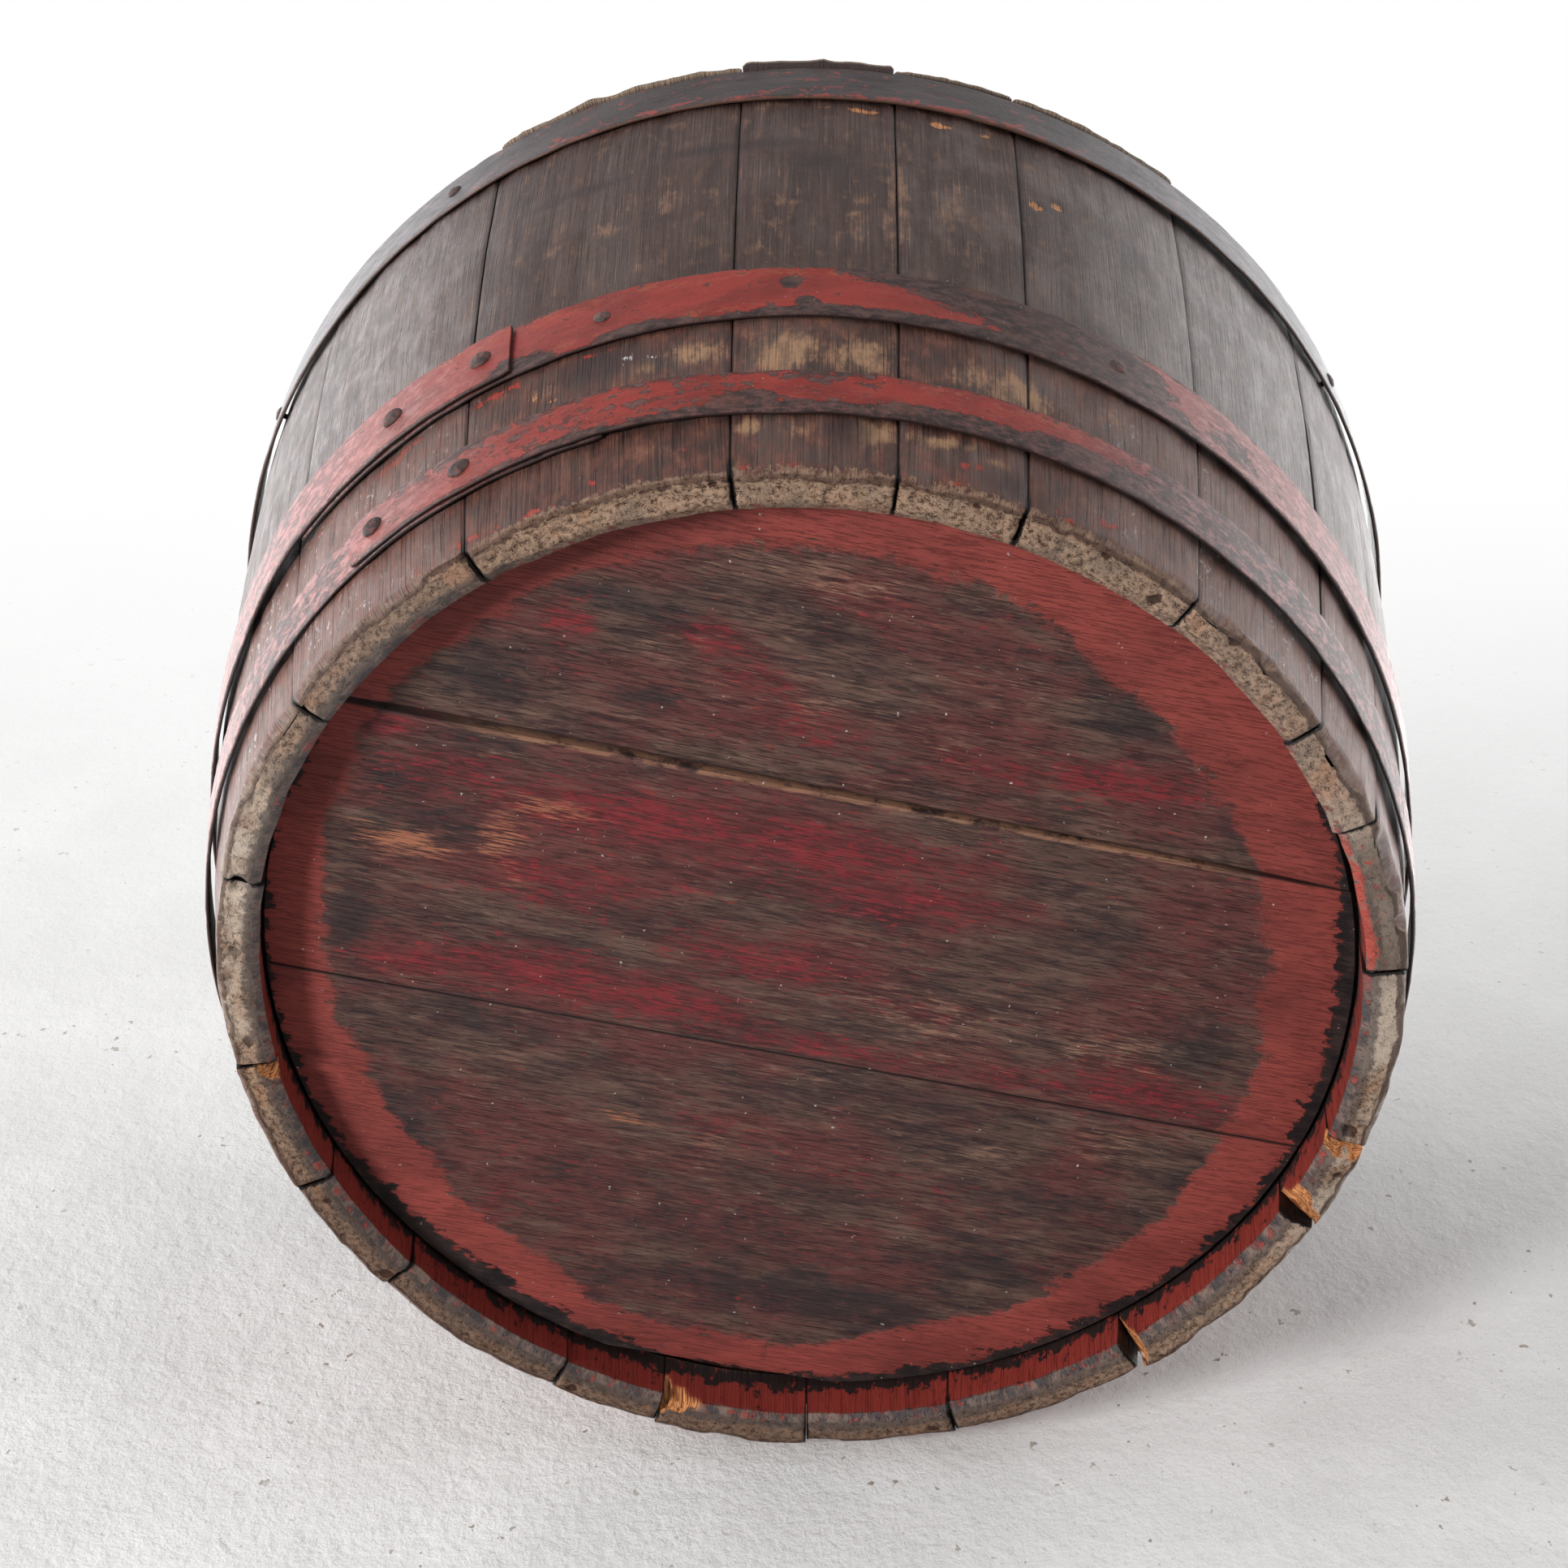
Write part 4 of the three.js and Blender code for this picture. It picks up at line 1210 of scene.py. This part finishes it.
def dowel_shader():
    s = Shader(bpy.data.materials.new("dowel_oak"))
    where = s.node("TexCoord", out="Object")
    along = s.node("VectorRotate", where, named={"Angle": -HEAD_ANGLE}, rotation_type="Z_AXIS")
    fine = s.noise(along, (900, 60, 900), 4.0, 0.6)
    colour = s.coats((122, 88, 58), (fine.step(0.38, 0.62), (186, 146, 104)))
    return s.finish(colour, 0.55 + fine * 0.2, fine, 0.4 * MM)


# ---- Putting the cask together ------------------------------------------------------------

RIVET = head_profile(5.6 * MM, 3.0 * MM, 2.9 * MM, 4.8 * MM)
NAIL = head_profile(4.2 * MM, 1.6 * MM, 1.5 * MM, 19 * MM)
LOOKS = {
    "stave_oak": stave_shader(),
    "head_oak": head_shader(),
    "red_hoop_iron": red_hoop_shader(),
    "black_hoop_iron": black_hoop_shader(),
    "fastener_iron": fastener_shader(),
}
DOWEL_OAK = dowel_shader()

for stave in STAVES:
    build_stave(stave)
for board in BOARDS:
    build_board(board)
for hoop in HOOPS:
    build_hoop(hoop)
    for node in sorted(NODES):
        if node.startswith(hoop + "_rivet"):
            build_fastener(node, hoop, 2, RIVET, 1.06)
        if node.startswith(hoop + "_nail"):
            build_fastener(node, hoop, 1, NAIL, 1.0)
for node in NODES:
    if node.startswith("head_dowel"):
        NODES[node].data.materials.clear()
        NODES[node].data.materials.append(DOWEL_OAK)


# ---- Studio -------------------------------------------------------------------------------

CAMERA_AT = Vector((0.0101, -0.8629, -1.0622))
CAMERA_LOOK = Vector((-0.01643, 0.56433, 0.82539))
CAMERA_RIGHT = Vector((0.99987, 0.00927, 0.01356))
SENSOR = 36.0
LENS = 65.2
TO_KEY_LIGHT = Vector((-0.62, -0.45, -0.65)).normalized()
TO_TOP_LIGHT = Vector((0.25, 0.45, 0.85)).normalized()
LIGHT_AIM = Vector((0, 0, 0.15))
LIGHT_DISTANCE = 3.0
WHITE = (1.0, 1.0, 1.0)
FLOOR_BUMP = 1.1 * MM
FLOOR_STEPS = 24


def add_camera():
    data = bpy.data.cameras.new("camera")
    data.sensor_width = SENSOR
    data.lens = LENS
    data.clip_end = 50
    camera = bpy.data.objects.new("camera", data)
    look = CAMERA_LOOK.normalized()
    right = (CAMERA_RIGHT - CAMERA_RIGHT.dot(look) * look).normalized()
    turn = Matrix((right, right.cross(look), -look)).transposed()
    camera.matrix_world = Matrix.Translation(CAMERA_AT) @ turn.to_4x4()
    bpy.context.scene.collection.objects.link(camera)
    bpy.context.scene.camera = camera


def add_softbox(name, towards, size, power):
    data = bpy.data.lights.new(name, "AREA")
    data.shape = "DISK"
    data.size = size
    data.energy = power
    light = bpy.data.objects.new(name, data)
    light.location = LIGHT_AIM + towards * LIGHT_DISTANCE
    light.rotation_euler = towards.to_track_quat("Z", "Y").to_euler()
    bpy.context.scene.collection.objects.link(light)


def add_world(near_side, far_side, flanks, under):
    """White to the camera. As a light: near_side on the chime's side, far_side on the open side,
    brighter to the left and right (flanks) and from the far part of the lying floor (under)."""
    world = bpy.data.worlds.new("studio")
    s = Shader(world)
    x, y, z = s.split(s.node("TexCoord", out="Generated"))
    fill = near_side + z.step(-0.45, 0.5, far_side - near_side)
    fill = fill + s.calc("ABSOLUTE", x).step(0.2, 0.8) * z.step(-0.7, 0.2) * flanks
    fill = fill + y.step(-0.1, 0.6) * z.step(-0.3, 0.4) * under
    camera = s.node("LightPath", out="Is Camera Ray")
    background = s.tree.nodes["Background"]
    s.feed(background.inputs["Color"], WHITE)
    s.feed(background.inputs["Strength"], camera + (1.0 - camera) * fill)
    bpy.context.scene.world = world
    bpy.context.scene.view_settings.view_transform = "Standard"


def floor_shader(name, seen_low, seen_high, fade_from, fade_to):
    """Pale screed that fades to white with the floor's spread, seen only by cameras on one side.

    seen_low and seen_high bound the height part of the direction towards the camera.
    The colours are linear.
    """
    s = Shader(bpy.data.materials.new(name))
    place = s.node("NewGeometry", out="Position")
    grit = s.noise(place, 240, 5.0, 0.7)
    sand = s.noise(place, 900, 2.0)
    cloud = s.noise(place, 9, 4.0, 0.6)
    specks = s.noise(place, 130, 2.0).step(0.70, 0.72) * cloud.step(0.4, 0.6) * 0.8
    colour = s.mix(cloud.step(0.35, 0.7), (0.53, 0.525, 0.52), (0.61, 0.605, 0.60))
    colour = s.mix(sand.step(0.3, 0.7, 0.5), colour, (0.67, 0.665, 0.66))
    colour = s.mix(grit.step(0.60, 0.72, 0.6), colour, (0.42, 0.40, 0.38))
    colour = s.mix(specks, colour, (0.20, 0.15, 0.11))
    bump = s.bump(grit + s.noise(place, 90, 3.0) * 1.5, FLOOR_BUMP)
    screed = s.node("BsdfDiffuse", named={"Color": colour, "Normal": bump})
    white = s.node("Emission", WHITE, 1.0)
    floor = s.node("MixShader", s.read("spread").step(fade_from, fade_to), screed, white)
    towards = s.split(s.node("NewGeometry", out="Incoming"))[2]
    seen = s.calc("GREATER_THAN", towards, seen_low) * s.calc("LESS_THAN", towards, seen_high)
    seen = seen * s.node("LightPath", out="Is Camera Ray")
    result = s.node("MixShader", seen, s.node("BsdfTransparent"), floor)
    s.feed(s.tree.nodes["Material Output"].inputs["Surface"], result)
    return s.owner


def add_floor(name, corner, first, second, spread, material):
    """A flat floor from a corner along two sides, with the fade distance as an attribute."""
    steps = range(FLOOR_STEPS + 1)
    points = [corner + (first * i + second * j) / FLOOR_STEPS for i in steps for j in steps]
    cells = [i * (FLOOR_STEPS + 1) + j for i in steps[:-1] for j in steps[:-1]]
    faces = [(a, a + 1, a + FLOOR_STEPS + 2, a + FLOOR_STEPS + 1) for a in cells]
    mesh = bpy.data.meshes.new(name)
    mesh.from_pydata(points, [], faces)
    attribute = mesh.attributes.new("spread", "FLOAT", "POINT")
    attribute.data.foreach_set("value", [spread(point) for point in points])
    mesh.materials.append(material)
    floor = bpy.data.objects.new(name, mesh)
    bpy.context.scene.collection.objects.link(floor)


def resting_line():
    """Offset and slope of y against z for the floor under the lying cask's two widest hoops."""
    low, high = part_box("bilge_hoop")[1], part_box("rim_hoop")[1]
    slope = (high.y - low.y) / (high.z - low.z)
    return low.y - slope * low.z, slope


# The cask can lie on its bilge and rim hoops, or stand on its chime. Each floor shows only to a
# camera that looks at it from above, and lets light through for the other.
LIE_OFFSET, LIE_SLOPE = resting_line()
LIE_ALONG = Vector((0, LIE_SLOPE, 1))
add_floor("lying_floor", Vector((-3, LIE_OFFSET + MM, 0)) - LIE_ALONG * 0.9, Vector((6, 0, 0)),
          LIE_ALONG * 4.4, lambda p: p.z, floor_shader("lying_screed", -2.0, -0.3, 0.0, 1.3))
add_floor("standing_floor", Vector((-3, -3, -0.3 * MM)), Vector((6, 0, 0)), Vector((0, 6, 0)),
          lambda p: math.hypot(p.x, p.y), floor_shader("standing_screed", 0.0, 2.0, 0.7, 2.6))
add_softbox("key_light", TO_KEY_LIGHT, 0.7, 96.0)
add_softbox("top_light", TO_TOP_LIGHT, 1.2, 40.0)
add_world(0.40, 0.70, 1.7, 2.0)
add_camera()
